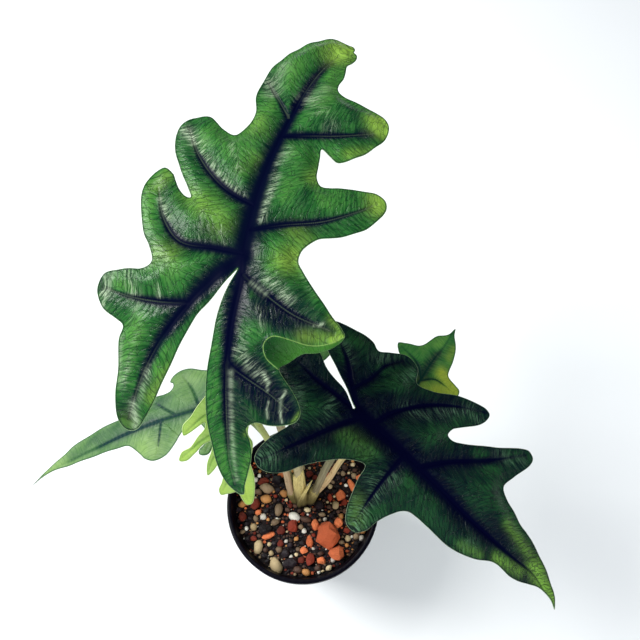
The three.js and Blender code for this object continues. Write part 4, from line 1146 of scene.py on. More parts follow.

# %% [markdown]
# Each leaf wrinkles in its own way: the big ones deeply, the pale and the young ones hardly. The
# numbers below are how far apart the furrows are, how deep, how far they sweep, and how fine the net
# has to be to show them. The strokes after them are brushed on, as a painter would: `fresh` where
# the green turns yellow, `light` and `dim` where it is clearer or darker than the ribs alone would
# make it, `sheen` where silvery glints are painted on and the wrinkles run deeper, and `gleam` where
# a whole highlight is painted on.

# %% Wrinkles of the tall leaf
# A stroke is its two ends in u and v, its width and its strength.
BRUSHES = ("fresh", "light", "dim", "sheen", "gleam")


def stroke_count(look):
    return sum(len(look[brush]) for brush in BRUSHES)


TALL_WRINKLES = {
    "pitch": 2.6, "depth": 0.13, "sweep": 0.02, "net": 0.5,
    "fresh": [
        (35, 92, 30, 95, 5, 1.5), (-3, 139, -4, 134, 9, 1), (44, 52, 46, 48, 5, 0.9),
        (-24, 19, -14, 12, 6, 0.35), (-34, -9, -29, -8, 5, 0.4), (23, 18, 18, 20, 5, 0.4),
        (21, 10, 19, 5, 5, 0.8), (-27, 20, -24, 17, 5, 0.5), (16, 58, 14, 50, 4, 0.5),
        (-33, 22, -28, 18, 5, 0.35), (52.5, -15, 49, -17.5, 2.5, 0.9), (37, -21, 46, -18, 3, 0.35),
        (-50, 22, -48, 28, 4, 0.4), (-20, 66, -22, 72, 5, 0.3), (-14, 50, -17, 42, 4, 0.2),
        (-27, -74, -22, -74, 4, 0.2), (46.4, -47, 44.4, -52.6, 1, 0.5), (33, 77, 24, 70, 3, 0.5),
        (-17, -62, -11, -50, 3, 0.5), (51, -13, 46, -9.6, 2.5, 0.5), (28.5, -58, 27, -62, 1, 0.4),
    ],
    "light": [
        (-44, 32, -34, 40, 4, 0.2), (-53, 20, -45, 4, 5, 1), (16, -63, 22, -76, 2.5, 0.4),
        (6, -38, 12, -58, 3, 0.6), (-31, -34, -28, -60, 4, 0.5), (20, 8, 19, 4, 5, 0.6),
        (-26, 20, -22, 22, 5, 0.4), (-18, 100, -22, 120, 5, 0.3), (-20, -12, -30, -18, 5, 0.2),
        (25, 39, 40, 46, 5, 0.4), (-4, 82, 2, 100, 5, 0.3), (-20, 82, -21, 88, 4, 0.9),
        (20, -72, 26, -78, 4, 1.2), (31, -70, 32, -78, 3, 0.9), (-17, -42, -18, -52, 3, 0.8),
        (0, 104, 2, 106, 3.5, 0.8), (-2.4, 112, -2, 118, 3, 0.8), (-46, -26, -40, -26, 3, 0.8),
        (-44, 57, -40, 50, 4, 0.8), (-14, 87, -12, 84, 2.5, 0.7),
    ],
    "dim": [
        (-9, 88, -8.5, 112, 3, 1.1), (-8.5, 112, -6, 124, 2.4, 0.8), (15, -18, 36, -19, 7, 1.25),
        (25, -28, 23, -31, 3.5, 1), (24, -42, 36, -48, 9, 1.8), (20, -52, 27, -56, 6, 0.9),
        (2, -18, 11, -47, 2.5, 0.3), (25, -60, 28, -66, 4, 0.5), (28, -8, 44, -14, 4, 0.5),
        (-34, 9, -28, 7, 3, 0.2), (-20, 8, -13, 9, 4, 0.55), (12, -20, 13, -28, 4, 0.35),
        (10, -3, 10, -4, 3, 0.5), (-31, -11, -28, -11, 3, 0.6), (29, 87, 26, 85, 3.5, 0.8),
        (20, 93, 16, 95, 4, 0.9), (14, 36, 14, 40, 4, 0.8), (21, 0, 22, -2, 3.5, 0.8),
        (27, -4, 36, -10, 4, 0.6), (13, 96, 10, 84, 6, 0.5), (9, 47, 19, 46, 5.5, 0.2),
    ],
    "sheen": [
        (-1, 44.5, 1, 21.5, 1.8, 1), (-52, 56, -42, 48.5, 2.6, 1.3), (-54, -27, -50, -35, 2.2, 1.2),
        (-42, 48.5, -24, 35.5, 1.6, 0.8), (-24, 35.5, -11.5, 29.5, 1.4, 1),
        (-27, 52.5, -17.5, 40, 1.6, 0.5), (-45, 15.5, -37.5, 8, 1.5, 1),
        (-31.5, 4.5, -33, 12.5, 0.8, 0.2), (-20, 3, -24, 16, 0.9, 0.4), (-12, 8.5, -8.5, 4.5, 0.8, 0.6),
        (-43.5, -20, -37, -28, 2.2, 0.9), (-29.5, -19.5, -26, -25.5, 1, 0.8),
        (-34.5, -30.5, -34.5, -38, 1.6, 0.35), (15, -4.5, 26.5, -9, 2, 0.9),
        (3.5, 8, 9.5, -0.5, 1.8, 0.25), (5.5, -16.5, 11.5, -27, 2, 0.1), (11.5, -27, 17, -34, 1.6, 0.3),
        (13, -35, 26.5, -40.5, 2, 0.65), (-35, 106, -23, 93, 3.5, 0.4), (-8, 96.5, 9.5, 84, 4, 0.35),
        (-2, 61.5, -5.5, 46, 3, 0.3), (-30, -40, -30.5, -55, 1.6, 0.25),
        (-30.5, -55, -30.5, -61.5, 1.6, 0.6), (-20.5, -58.5, -21, -51, 1.6, 0.4),
        (-35.5, -13.5, -28, -11, 1.5, 0.3), (-39, 17.5, -30.5, 11.5, 1.8, 0.1),
        (24, 8.5, 32.5, -2, 1.5, 0.3), (-51, 27, -52.5, 17, 1.4, 0.3), (16, -17, 21, -25, 1.2, 0.5),
        (40, -15, 43, -13, 0.6, 1),
    ],
    "gleam": [
        (26.9, -39.4, 29.6, -41.4, 0.9, 0.9), (29.6, -41.4, 30.2, -44, 0.6, 0.6),
        (32.4, -48, 32.7, -50.8, 0.5, 0.6), (32.7, -50.8, 34.1, -53.4, 0.5, 0.8),
        (37.6, -42, 37, -45.5, 0.6, 0.9), (37, -45.5, 38.1, -49.7, 0.7, 1),
        (38.1, -49.7, 40.2, -53, 0.5, 0.7), (13.5, -43, 19, -57.5, 1.1, 0.4),
        (19, -57.5, 25, -72, 1.1, 0.45), (25, -72, 29, -79, 0.8, 0.4), (-52, 56, -46, 50, 2.4, 0.35),
        (-51, -24, -49.5, -31, 2, 0.5), (-24, 91, -25, 112, 3.4, 0.32), (9, -8, 16, -10, 1.1, 0.35),
        (-2, 95, 0, 104, 3.4, 0.25), (-24.4, -67, -21, -74, 2, 0.7), (-37, -45, -33, -62, 1.2, 0.35),
        (-21.5, -53, -21.8, -64.6, 1.6, 0.3),
    ],
}
print("strokes on the tall leaf:", stroke_count(TALL_WRINKLES))

# %% Wrinkles of the dark leaf
DARK_WRINKLES = {
    "pitch": 2.1, "depth": 0.12, "sweep": 0.025, "net": 0.5,
    "fresh": [
        (-12, 91, -9, 113, 3, 0.5), (-7, 115, -2, 133, 4.5, 1), (4, 97, 0, 110, 3, 0.6),
        (12, 79, 9, 89, 2.5, 0.3), (13, 4, 12, 16, 5, 0.16), (38, 34, 31, 28, 4, 0.3),
    ],
    "light": [
        (15, 4, 14, 6, 4.5, 1), (11, 15, 11, 18, 5, 1), (-5, -5, -28, 6, 4.5, 0.7),
        (7, 40, 8, 42, 5, 0.8), (6, 52, 6, 55, 5.5, 0.7), (10, 80, 10, 84, 5.5, 0.8),
        (0, 98, 0, 101, 5, 1), (11, -14, 11, -11, 7, 0.4), (-35, 39, -39, 50, 5, 0.5),
        (-21, 64, -41, 77, 5, 0.5), (-18, 33, -21, 43, 4.5, 0.4), (14, 27, 12, 35, 5, 0.6),
        (-16, 82, -13, 96, 4, 0.8), (-7, 69, -7, 79, 5, 0.4), (38, 30, 34, 39, 5, 1),
        (-46, 80, -38, 72, 5, 1), (-46, 50, -40, 44, 5, 0.9), (50, -16, 40, -14, 5, 0.7),
        (-34, -12, -40, -2, 5, 0.8), (-43, 36, -39, 46, 4, 0.5), (39, 34, 40, 37, 3, 0.8),
        (31, 36, 28, 38, 4, 1.1), (-24, -3, -22, -5, 4, 1.2), (-34, 8, -28, 2, 4, 0.9),
        (-28, 61, -25, 59, 4, 1.1), (-28, 70, -23, 66, 4, 1.1), (-14, -22, -18, -26, 3, 1),
        (-25, -22, -24, -26, 4, 1), (22, 31, 14, 28, 4, 0.4),
    ],
    "dim": [
        (10, 10, 4, 20, 3, 0.4), (-8, 97, -7, 93, 3, 0.9), (-8, 2, -15, 6, 4, 0.8),
        (-7, 80, -7, 86, 3, 0.4),
    ],
    "sheen": [
        (19, 31.5, 26.5, 33, 3, 0.8), (12.5, 33.5, 20.5, 27.5, 3, 0.7), (45.5, -19, 51.5, -16, 2.5, 0.7),
        (40, -18, 47, -12, 3, 0.6), (44, 37, 33.5, 33.5, 3, 1.2), (36, 40, 30, 42, 2.5, 0.7),
        (41.5, 30, 33, 26, 2.5, 0.7), (-27.5, 6, -36.5, 10.5, 3, 0.6), (-40, 42.5, -39, 50, 3, 0.5),
        (-28, 31, -41, 42, 3, 0.6), (-16.5, 16, -21.5, 27, 3, 0.5), (17, 80.5, 7.5, 81.5, 3, 0.4),
        (-34, 66.5, -40, 78, 3, 0.5), (-20, -25.5, -16.5, -18, 2, 0.4), (5, -11.5, 15.5, -9, 3, 0.5),
        (12.5, -26.5, 20.5, -25, 3, 0.4), (-25, -10, -38, -4, 3, 0.5),
    ],
    "gleam": [],
}
print("strokes on the dark leaf:", stroke_count(DARK_WRINKLES))

# %% Wrinkles of the three others
PALE_WRINKLES = {
    "pitch": 3.0, "depth": 0.05, "sweep": 0.02, "net": 0.7,
    "fresh": [
        (-12, 14, -18, 13, 8, 0.5), (-8, 45, -12, 40, 8, 0.6), (0, 118, 2, 104, 8, 0.6),
        (22, 18, 20, 12, 6, 0.3),
    ],
    "light": [
        (-1, 90, 0, 116, 6, 1.1), (4, 78, 3, 100, 4, 0.8), (10, 12, 16, 10, 6, 1), (8, 84, 7, 108, 5, 1),
    ],
    "dim": [
        (4, 40, 8, 66, 5, 0.8), (6, 4, 14, 12, 8, 0.6), (6, 92, 10, 60, 4, 0.9), (-7, 34, -8, 42, 5, 0.3),
        (12, 34, 15, 20, 3, 0.6),
    ],
    "sheen": [(-2, 24, 1, 50, 6, 0.15)], "gleam": [],
}
SMALL_WRINKLES = {
    "pitch": 2.6, "depth": 0.04, "sweep": 0.02, "net": 0.6,
    "fresh": [
        (12, 26, 17, 33, 6, 1), (4, 14, 6, 22, 6, 0.6), (8, 38, 14, 36, 4, 1.2), (5, 50, 4, 58, 2.5, 0.3),
    ],
    "light": [(10, 22, 16, 34, 6, 0.8), (-12, 36, -18, 39, 4, 0.5), (-4, 54, -3, 62, 3, 0.9)],
    "dim": [(-1.5, 28, -1.5, 47, 3, 1.1), (-8, 32, -3, 36, 3, 0.5)],
    "sheen": [(0, 40, 0, 50, 8, 0.1)], "gleam": [],
}
YOUNG_WRINKLES = {
    "pitch": 2.4, "depth": 0.02, "sweep": 0.02, "net": 0.55,
    "fresh": [
        (0, 68, 0, 54, 6, 0.8), (28, 22, 24, 16, 6, 0.4), (30, 38, 26, 32, 6, 0.4),
        (13, 62, 11, 54, 5, 0.6),
    ],
    "light": [], "dim": [], "sheen": [], "gleam": [],
}
WRINKLES = {
    "tall": TALL_WRINKLES, "dark": DARK_WRINKLES, "pale": PALE_WRINKLES, "small": SMALL_WRINKLES,
    "young": YOUNG_WRINKLES,
}
print("strokes on each leaf:", {name: stroke_count(look) for name, look in WRINKLES.items()})

# %% Strokes, fold and furrows
# How far the fold is felt on either side, and how deep it drops, in millimetres. The two far points
# close the outline of what lies beyond its crest.
FOLD_REACH = 6.0
FOLD_DROP = 2.6
FOLD_FAR = [(60, -36), (60, -15)]


def brushed(flat, strokes):
    """How much paint each point gets from the strongest stroke near it. Along a stroke it is its strength."""
    total = np.zeros(len(flat))
    for u0, v0, u1, v1, width, strength in strokes:
        start, run = np.array((u0, v0)), np.array((u1 - u0, v1 - v0))
        share = np.clip((flat - start) @ run / max(run @ run, 1e-9), 0, 1)
        gap = np.linalg.norm(flat - start - share[:, None] * run, axis=1) / width
        total = np.maximum(total, strength * np.exp(-(gap**2)))
    return total


def fold(leaf, flat):
    """How far each point lies beyond the crest of the fold. Below 0 it lies before it, or has no fold."""
    if "crest" not in leaf:
        return np.full(len(flat), -FOLD_REACH)
    crest = evenly(smooth_curve(leaf["crest"], 16), 0.3)
    far = distance_to_line(crest, flat)
    beyond = inside_loop(np.concatenate([crest, FOLD_FAR]), flat)
    return np.clip(np.where(beyond, far, -far), -FOLD_REACH, FOLD_REACH)


def furrows(leaf, flat, fields, edge):
    """The wrinkled skin of a blade: its height over the plain blade, and the phase of its side veins."""
    look = WRINKLES[leaf["name"]]
    near = fields["near"]
    swept = fields["along"] - 0.22 * near - look["sweep"] * near**2
    phase = (swept + 1.5 * clouds(flat, 0.06, 8.0) + 0.5 * clouds(flat, 0.3, 3.0)) / look["pitch"]
    veined = np.abs(np.sin(math.pi * phase)) ** 0.8 - 1
    between = np.abs(np.sin(2 * math.pi * phase + 2.0 * clouds(flat, 0.25, 31.0))) - 1
    patches = 0.35 + 1.3 * np.clip(clouds(flat, 0.07, 21.0) + 0.3, 0, 1)
    seam = smoothstep(fields["between"], 0.0, 3.0)
    room = smoothstep(fields["exact"], 0.5, 2.6) * (0.3 + 0.7 * smoothstep(edge, 0, 4)) * seam
    crumple = -np.abs(clouds(flat, 0.5, 5.0)) - 0.6 * np.abs(clouds(flat, 0.95, 15.0))
    lively = look["depth"] * (patches + 1.4 * brushed(flat, look["sheen"]))
    thin = smoothstep(fields["size"], 2.6, 1.6)
    groove = (0.06 + 0.3 * thin) * np.exp(-((fields["exact"] / 0.5) ** 2))
    skin = lively * (room * (veined + 0.45 * between) + 1.1 * crumple * smoothstep(fields["exact"], 0.3, 2.0))
    return skin * (0.15 + 0.85 * smoothstep(fields["shade"], -0.2, 0.5)) - groove, phase


print("one width off a stroke:", brushed(np.array([(0.0, 1.0)]), [(-1, 0, 1, 0, 1, 1)]).round(2))

# %% Build the blades
# The step along a leaf's outline and the step of the net of its underside, in millimetres.
OUTLINE_STEP = 0.75
UNDERSIDE_NET = 1.5


def build_blade(leaf):
    """The fine blade of one leaf, with the marks that its finish reads."""
    look = WRINKLES[leaf["name"]]
    drawn = leaf["outline"]
    gaps = [math.dist(a, b) for a, b in zip(drawn, drawn[1:] + drawn[:1])]
    loop = smooth_curve(drawn, [max(1, round(gap / OUTLINE_STEP)) for gap in gaps], closed=True)
    if (loop[:, 0] * np.roll(loop[:, 1], -1) - loop[:, 1] * np.roll(loop[:, 0], -1)).sum() < 0:
        loop = loop[::-1]

    rows = rib_rows(leaf)
    points, faces, marks = [], [], []
    for upper, step in ((1, look["net"]), (0, UNDERSIDE_NET)):
        flat, corners = fill_loop(loop, step)
        edge = distance_to_loop(loop, flat)
        edge[:len(loop)] = 0
        fields = rib_fields(rows, flat)
        heights = blade_heights(leaf, flat, fields, edge)[1 - upper]
        folded = fold(leaf, flat)
        crease = 0.5 * np.exp(-((folded / 1.2) ** 2))
        heights = heights - FOLD_DROP * smoothstep(folded, 0, FOLD_REACH) + crease
        skin, phase = furrows(leaf, flat, fields, edge)
        skin = skin * (1 - 0.8 * smoothstep(folded, -0.5, 0.8))
        points.append(to_world(leaf, np.c_[flat, heights + upper * skin]))
        faces.append(corners)
        marks.append({
            "near": fields["near"], "shade": fields["shade"], "edge": edge, "phase": phase,
            "seam": fields["between"], "upper": np.full(len(flat), upper), "size": fields["size"],
            "fold": folded, "flap": smoothstep(flat[:, 0], 24, 40), "fresh": brushed(flat, look["fresh"]),
            "sheen": brushed(flat, look["sheen"]), "gleam": brushed(flat, look["gleam"]),
            "lift": brushed(flat, look["light"]) - brushed(flat, look["dim"]),
        })
    blade = slab_object(f"leaf_{leaf['name']}", len(loop), points[0], faces[0], points[1], faces[1])
    carry(blade, **{name: np.r_[marks[0][name], marks[1][name]] for name in marks[0]})
    return blade


blades = {leaf["name"]: build_blade(leaf) for leaf in LEAVES}
print("blades:", {name: len(blade.data.polygons) for name, blade in blades.items()})

# %% [markdown]
# ## Leaf finishes
#
# One recipe serves all five leaves, with colours of their own. From the mesh it reads how near a
# rib is, how near the margin, how far up a furrow, and where the young tissue is. The dark band is
# soft-edged, and the green is painted lighter away from it, partly its own colour and partly painted
# shade where the pillowed blade dips to the ribs. The furrows are darker in their valleys, painted
# shade darkens the hollows of the fine relief and painted glints lie on its ridges, the margin is a
# fine dark line with a thin painted highlight on its rim, and the underside is paler and matt.


# %% Leaf recipe
def leaf_finish(
        name, stops, fresh, vein, rim, under, glint_colour, gloss, netted, veining=0.7, stroked=0.4, rib_glint_strength=0.0):
    """The finish of one leaf. stops is its colour from the dark band along a rib out to the open web."""
    made = Finish(f"leaf_{name}")
    where = made.place()
    near, edge, phase = made.mark("near"), made.mark("edge"), made.mark("phase")
    blotch = made.speckle(where, 85, detail=3.0, roughness=0.55)
    pores = made.speckle(where, 1500, detail=3.0, roughness=0.6)
    turn = phase * math.pi
    across = turn.math("ABSOLUTE", turn.math("SINE", turn))
    side_vein = (1 - across / 0.26).clamped() * near.between(0.8, 3.0) * made.mark("seam").between(0.0, 1.5)
    track = made.node("ShaderNodeCombineXYZ", inputs={0: phase * 3.4, 1: near * 0.17, 2: made.mark("size")})
    fibre = made.speckle(track, 1.0, detail=3.0, roughness=0.6)
    sheen, shade = made.mark("sheen"), made.mark("shade")
    wander = made.speckle(where, 420, detail=2.0) * 1.2
    cells = {0: phase * 0.95 + wander, 1: near * 0.27 + wander, 2: 0.0}
    cells = {"Vector": made.node("ShaderNodeCombineXYZ", inputs=cells), "Scale": 1.0}
    meshes = made.node("ShaderNodeTexVoronoi", {"feature": "DISTANCE_TO_EDGE"}, cells)
    fine_vein = 1 - meshes.between(0.01, 0.06)

    open_web = shade.between(-0.1, 0.5)
    # The green lightens away from the ribs, partly its own colour and partly painted shade where the pillowed
    # blade dips to them. On the open web the fibre noise that also raises the fine relief lightens the green
    # on its ridges, partly its own streaks and partly painted highlight.
    tone = shade.clamped() * 0.55 + (near / 12).clamped() * 0.55 + made.mark("lift") * 0.5
    tone = tone + ((blotch - 0.5) * 0.8 + (fibre - 0.5) * stroked) * open_web - side_vein * 0.1
    colour = made.ramp(tone, 0.0, 1.3, stops)
    young = (made.mark("fresh") * (0.3 + blotch * 1.4)).clamped() * shade.between(0.0, 0.6)
    colour = made.mix(young, colour, fresh)
    colour = made.mix(side_vein * veining * open_web, colour, vein)
    colour = made.mix(fine_vein * netted * open_web, colour, vein)
    # Painted shade: the hollows of the fine fibre relief are darkened towards the vein colour, most where
    # glints are painted.
    valley_shade = (1 - fibre.between(0.38, 0.46)) * (sheen * 0.6 + 0.25)
    colour = made.mix((valley_shade * open_web).clamped(), colour, vein)
    # Painted glints: silvery strokes on the ridges of the fibre relief where sheen is brushed on, and whole
    # painted highlights where gleam is brushed on.
    scale = fibre.between(0.46, 0.6) * (sheen * 0.9 + 0.04) + sheen * 0.05
    scale = (scale * open_web).clamped() * 0.6 + made.mark("gleam") * (0.2 + fibre.between(0.4, 0.58) * 0.5)
    colour = made.mix(scale.clamped(), colour, glint_colour)
    colour = made.mix(edge.between(0.1, 0.3) * (1 - edge.between(0.4, 0.9)) * 0.8, colour, vein)
    # Painted highlight: a thin light rim right at the margin.
    colour = made.mix(1 - edge.between(0.06, 0.2), colour, rim)
    # Painted highlight: a thin light thread along the middle of the small ribs.
    rib_glint = (1 - near.between(0.2, 0.5)) * (1 - made.mark("size").between(1.1, 1.8)) * rib_glint_strength
    colour = made.mix(rib_glint, colour, made.mix(0.5, glint_colour, fresh))
    folded = made.mark("fold")
    flap = made.mix(made.mark("flap") * 0.8 + blotch * 0.3, paint(14, 56, 30), paint(60, 114, 42))
    colour = made.mix(folded.between(0.1, 0.7), colour, flap)
    # Painted highlight: a light line along the crest of the fold.
    crest = 1 - folded.math("ABSOLUTE", folded).between(0.05, 0.3)
    colour = made.mix(crest * 0.8, colour, made.mix(0.5, rim, fresh))

    belly = made.mix(1 - shade.between(-0.2, 0.5), under, made.mix(0.6, under, vein))
    belly = made.mix(side_vein * 0.4, belly, made.mix(0.5, under, vein))
    upper = made.mark("upper").between(0.35, 0.65)
    colour = made.mix(upper, belly, colour)

    fine = made.relief(pores * open_web, 0.0001)
    fine = made.relief((1 - fine_vein) * open_web, netted * 0.0005, fine)
    fine = made.relief(fibre * (0.3 + sheen) * open_web, 0.0008, fine)
    shine = gloss + (blotch - 0.5) * 0.2 + (1 - upper) * 0.3
    made.set(Base_Color=colour, Roughness=shine.clamped(), Normal=fine, Specular_IOR_Level=0.22)
    made.layer(open_web + 1 - upper, Base_Color=colour, Roughness=0.5, Specular_IOR_Level=0.02)
    return made


print("leaf recipe:", leaf_finish.__doc__)

# %% Leaf colours
# In each look, rim is the colour of the painted highlight along the margin, and the glint colour, given after
# under, is that of the painted glints, gleams and rib threads.
LEAF_LOOKS = {
    "tall": dict(
        stops=[
            (0.0, paint(2, 5, 31)), (0.2, paint(4, 15, 32)), (0.42, paint(10, 40, 32)),
            (0.65, paint(22, 70, 33)), (0.9, paint(39, 97, 41)), (1.3, paint(70, 128, 52)),
        ],
        fresh=paint(126, 164, 62), vein=paint(10, 42, 28), rim=paint(120, 152, 100),
        under=paint(122, 152, 108),
        glint_colour=paint(186, 206, 172), gloss=0.28, netted=0.4, stroked=0.6, rib_glint_strength=0.1),
    "dark": dict(
        stops=[
            (0.0, paint(2, 3, 29)), (0.5, paint(3, 7, 29)), (0.76, paint(6, 21, 29)),
            (1.0, paint(13, 42, 31)), (1.3, paint(28, 70, 38)),
        ],
        fresh=paint(112, 158, 62), vein=paint(3, 16, 27), rim=paint(130, 156, 120), under=paint(100, 130, 92),
        glint_colour=paint(106, 148, 114), gloss=0.3, netted=0.6, stroked=0.7),
    "pale": dict(
        stops=[
            (0.0, paint(14, 46, 48)), (0.16, paint(32, 70, 46)), (0.5, paint(54, 94, 52)),
            (0.8, paint(74, 114, 60)), (1.3, paint(112, 144, 88)),
        ],
        fresh=paint(132, 164, 92), vein=paint(46, 88, 52), rim=paint(112, 124, 112),
        under=paint(140, 168, 124),
        glint_colour=paint(176, 196, 160), gloss=0.42, veining=0.5, netted=0.06, stroked=0.15),
    "small": dict(
        stops=[
            (0.0, paint(14, 48, 42)), (0.3, paint(24, 70, 42)), (0.7, paint(48, 112, 52)),
            (1.3, paint(100, 156, 64)),
        ],
        fresh=paint(164, 182, 60), vein=paint(36, 80, 40), rim=paint(60, 90, 50), under=paint(150, 176, 110),
        glint_colour=paint(170, 200, 120), gloss=0.42, veining=0.35, netted=0.15),
    "young": dict(
        stops=[
            (0.0, paint(118, 156, 72)), (0.3, paint(138, 174, 82)), (0.8, paint(152, 186, 92)),
            (1.3, paint(168, 198, 112)),
        ],
        fresh=paint(164, 194, 78), vein=paint(118, 156, 66), rim=paint(214, 228, 166),
        under=paint(170, 196, 112),
        glint_colour=paint(220, 236, 170), gloss=0.45, veining=0.3, netted=0.06),
}
SLOTS = {name: f"leaf_{name}" for name in LEAF_LOOKS} | {"tall": "leaf_green"}
for name, blade in blades.items():
    dress(blade, leaf_finish(name, **LEAF_LOOKS[name]), SLOTS[name], f"blade_{name}")

# %% [markdown]
# ## Stalks
#
# A leaf stalk is a long cord of fibres: round, a little ridged lengthwise, thinner towards the
# blade and swollen just under it. It could be a bevelled curve, but the ridges and the swelling need
# a radius for every point, so a ring of points is swept along the measured line.


# %% Sweep rings along a line
# Where a stalk meets its blade, in the leaf's frame. It aims at that spot from some way below and
# ends a little above the underside.
SOCKET = (0.5, 1)
SOCKET_FROM, SOCKET_TO = -7.35, 0.35


def stalk_line(leaf):
    """The line of a stalk from the corm into the underside of its blade, in millimetres."""
    rows = rib_rows(leaf)
    tip = leaf["radius"][2]
    around = np.arange(12) * math.pi / 6
    ring = [(r * math.cos(a), r * math.sin(a)) for a in around for r in (0, 0.6 * tip, tip)]
    probe = np.array(SOCKET) + ring
    _, under = blade_heights(leaf, probe, rib_fields(rows, probe), np.full(len(probe), 2.0))
    ends = np.array([(*SOCKET, under.min() + above) for above in (SOCKET_FROM, SOCKET_TO)])
    ends = to_world(leaf, ends) / MM
    drawn = list(leaf["stalk"]) + [tuple(p) for p in ends]
    return smooth_curve(drawn, 40)


def sweep(name, line, sides, radius_at):
    """A closed tube along a line. radius_at(t, angle, centre) gives its radius for whole rings."""
    ahead = np.gradient(line, axis=0)
    ahead /= np.linalg.norm(ahead, axis=1)[:, None]
    angle = np.arange(sides) * 2 * math.pi / sides
    cos, sin = np.cos(angle)[:, None], np.sin(angle)[:, None]
    share = np.linspace(0, 1, len(line))
    across = np.array([1.0, 0, 0])
    rings = []
    for t, centre, way in zip(share, line, ahead):
        across = across - way * (across @ way)
        across /= np.linalg.norm(across)
        beside = np.cross(way, across)
        rings.append(centre + radius_at(t, angle, centre)[:, None] * (cos * across + sin * beside))
    points = np.concatenate([*rings, line[:1], line[-1:]])
    k = np.arange(sides)
    following = (k + 1) % sides
    last = (len(line) - 1) * sides
    foot, tip = np.full(sides, len(points) - 2), np.full(sides, len(points) - 1)
    start = np.arange(len(line) - 1)[:, None] * sides
    faces = [
        np.stack([foot, following, k, tip, last + k, last + following], 1),
        np.stack([start + k, start + following, start + following + sides], 2),
        np.stack([start + k, start + following + sides, start + k + sides], 2),
    ]
    piece = mesh_object(name, points * MM, np.concatenate([part.reshape(-1, 3) for part in faces]))
    carry(piece, along=np.r_[np.repeat(share, sides), 0, 1], turn=np.r_[np.tile(angle, len(line)), 0, 0])
    return piece


print("line of the tall stalk:", len(stalk_line(TALL_LEAF)), "points")

# %% Build the stalks
# How far a stalk reaches down into its sheath, the step from ring to ring and the points of a ring.
SHEATH_COVER = 16
STALK_STEP = 0.9
STALK_SIDES = 26


def build_stalk(leaf):
    line = stalk_line(leaf)
    line = evenly(line[line[:, 2] > leaf.get("stalk_from", leaf["sheath_top"] - SHEATH_COVER)], STALK_STEP)
    _, middle, tip = leaf["radius"]

    def radius_at(t, angle, centre):
        body = middle + (tip - middle) * t
        knee = 0.35 * math.exp(-(((1 - t) * 12) ** 2))
        ridge = 0.035 * np.sin(5 * angle + 2 * t) + 0.02 * np.sin(11 * angle - 9 * t)
        return (body + knee) * (1 + ridge)

    return sweep(f"stalk_{leaf['name']}", line, STALK_SIDES, radius_at)


stalks = {leaf["name"]: build_stalk(leaf) for leaf in LEAVES}
print("stalks:", {name: len(stalk.data.polygons) for name, stalk in stalks.items()})


# %% Stalk finish
def stalk_finish(name, pale, mid, streak, tip_colour):
    made = Finish(f"stalk_{name}")
    where = made.place()
    turn, along = made.mark("turn"), made.mark("along")
    track = made.node("ShaderNodeCombineXYZ", inputs={0: turn * 1.3, 1: along * 2.2, 2: 0.0})
    fibre = made.speckle(track, 2.6, detail=5.0, roughness=0.65)
    fleck = made.speckle(where, 500, detail=4.0, roughness=0.7)
    colour = made.mix(fibre.between(0.3, 0.7), mid, pale)
    colour = made.mix(along.between(0.35, 0.75), colour, tip_colour)
    colour = made.mix(fleck.between(0.56, 0.68) * 0.75 * (1 - along * 0.6), colour, streak)
    made.set(Base_Color=colour, Roughness=0.5, Normal=made.relief(fibre + fleck * 0.4, 0.0005), IOR=1.45)
    return made


STALK_COLOURS = {
    "tall": (paint(198, 186, 146), paint(160, 146, 104), paint(108, 84, 62), paint(128, 140, 88)),
    "dark": (paint(156, 146, 112), paint(112, 102, 76), paint(74, 58, 48), paint(104, 112, 70)),
    "pale": (paint(190, 186, 140), paint(150, 150, 102), paint(110, 96, 66), paint(132, 150, 98)),
    "small": (paint(228, 200, 152), paint(194, 158, 112), paint(146, 100, 66), paint(140, 152, 86)),
    "young": (paint(204, 178, 142), paint(164, 136, 104), paint(110, 80, 60), paint(178, 190, 104)),
}
for name, stalk in stalks.items():
    dress(stalk, stalk_finish(name, *STALK_COLOURS[name]), "stalk_skin", f"petiole_{name}")

# %% [markdown]
# ## Sheaths and corm
#
# At the foot every stalk widens into a sheath that wraps the next one, like the layers of a leek.
# Its free edge overlaps in a fine step and ends above in a torn point, dry and papery. Each sheath
# is swept like a stalk, a little wider, with the overlap as a step in its radius. Below them sits
# the corm, sunk in the soil: a squat ball, pulled into shape from a sphere.

# %% Sheaths
# The side to which each sheath opens, as an angle in radians.
SHEATH_LEAN = {"tall": 3.6, "dark": 0.4, "pale": 2.4, "small": 5.4, "young": 4.4}
SHEATH_STEP = 0.6
SHEATH_SIDES = 44
TORN_SIDES = 36
# A torn, pointed sheath stands alone in front. Its line runs from its foot to its point.
TORN_SHEATH = [(-2.6, 0.8, 70), (-1.9, 1.2, 80), (0.2, 2.4, 91), (3.2, 4.8, 100), (5.7, 7.9, 105)]


def build_sheath(leaf):
    line = stalk_line(leaf)
    top = leaf["sheath_top"]
    line = evenly(line[line[:, 2] < top], SHEATH_STEP)
    foot, middle, _ = leaf["radius"]
    open_at = SHEATH_LEAN[leaf["name"]]

    def radius_at(t, angle, centre):
        wrap = ((angle - open_at) % (2 * math.pi)) / (2 * math.pi)
        outer_skin = foot + (middle + 0.45 - foot) * t**2
        outer_skin = outer_skin * (0.97 + 0.10 * wrap + 0.02 * np.sin(9 * angle + 4 * t))
        torn = top - 1.0 - 9.0 * np.abs(wrap - 0.45) - 0.8 * np.sin(17 * wrap)
        inside = 0.93 * middle
        return inside + (outer_skin - inside) * smoothstep(torn - centre[2], 0.0, 1.1)

    return sweep(f"sheath_{leaf['name']}", line, SHEATH_SIDES, radius_at)


def torn_radius(t, angle, centre):
    flat = 1 - 0.45 * np.cos(angle) ** 2
    return (0.12 + 2.9 * (1 - t) ** 0.75) * flat * (1 + 0.04 * np.sin(7 * angle + 5 * t))


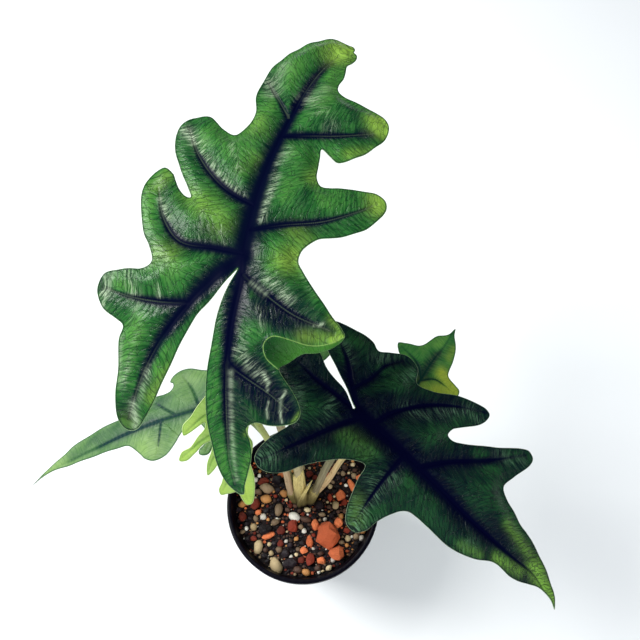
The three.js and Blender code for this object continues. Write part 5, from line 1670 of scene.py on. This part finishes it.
sheaths = [build_sheath(leaf) for leaf in LEAVES]
sheaths.append(sweep("torn_sheath", smooth_curve(TORN_SHEATH, 12), TORN_SIDES, torn_radius))
print("sheaths:", [sheath.name for sheath in sheaths])

# %% The corm, with the sheaths joined to it
CORM_RADIUS = 8.0
CORM_HEIGHT = 63.0

bpy.ops.object.select_all(action="DESELECT")
bpy.ops.mesh.primitive_uv_sphere_add(segments=48, ring_count=24, radius=CORM_RADIUS * MM)
corm = bpy.context.object
corm.name = "stem_foot"
for point in corm.data.vertices:
    way = point.co.normalized()
    point.co *= 1 + 0.08 * noise.noise(way * 3) + 0.03 * noise.noise(way * 11)
    point.co.z *= 0.88
    point.co += Vector((*CORM_CENTRE, CORM_HEIGHT)) * MM
corm.data.shade_smooth()
carry(corm, along=np.zeros(len(corm.data.vertices)), turn=np.array([p.co.x for p in corm.data.vertices]) / MM)
use_only(corm)
for sheath in sheaths:
    sheath.select_set(True)
bpy.ops.object.join()
bpy.ops.object.transform_apply(location=True, rotation=True, scale=True)
print("foot of the plant:", len(corm.data.polygons), "faces")

# %% Papery finish
paper = Finish("papery_sheath")
where = paper.place()
turn, along = paper.mark("turn"), paper.mark("along")
track = paper.node("ShaderNodeCombineXYZ", inputs={0: turn * 1.6, 1: along * 1.2, 2: 0.0})
fibre = paper.speckle(track, 3.0, detail=6.0, roughness=0.7)
fleck = paper.speckle(where, 420, detail=5.0, roughness=0.7)
high = paper.node("ShaderNodeSeparateXYZ", inputs={0: where}, output=2)
colour = paper.mix(fibre.between(0.32, 0.66), paint(172, 148, 80), paint(238, 220, 148))
# Painted shade: the sheaths darken to olive brown towards the foot, below 78 to 100 mm.
colour = paper.mix((1 - high.between(0.078, 0.1)) * 0.9, colour, paint(84, 76, 42))
colour = paper.mix(fleck.between(0.54, 0.68) * 0.5, colour, paint(92, 76, 46))
# Painted shade: near black where the foot sinks into the soil, below 70 to 78 mm.
colour = paper.mix(1 - high.between(0.070, 0.0775), colour, paint(30, 24, 20))
paper.set(Base_Color=colour, Roughness=0.72, Normal=paper.relief(fibre + fleck * 0.5, 0.0006))
dress(corm, paper, "corm_skin", "corm")

# %% [markdown]
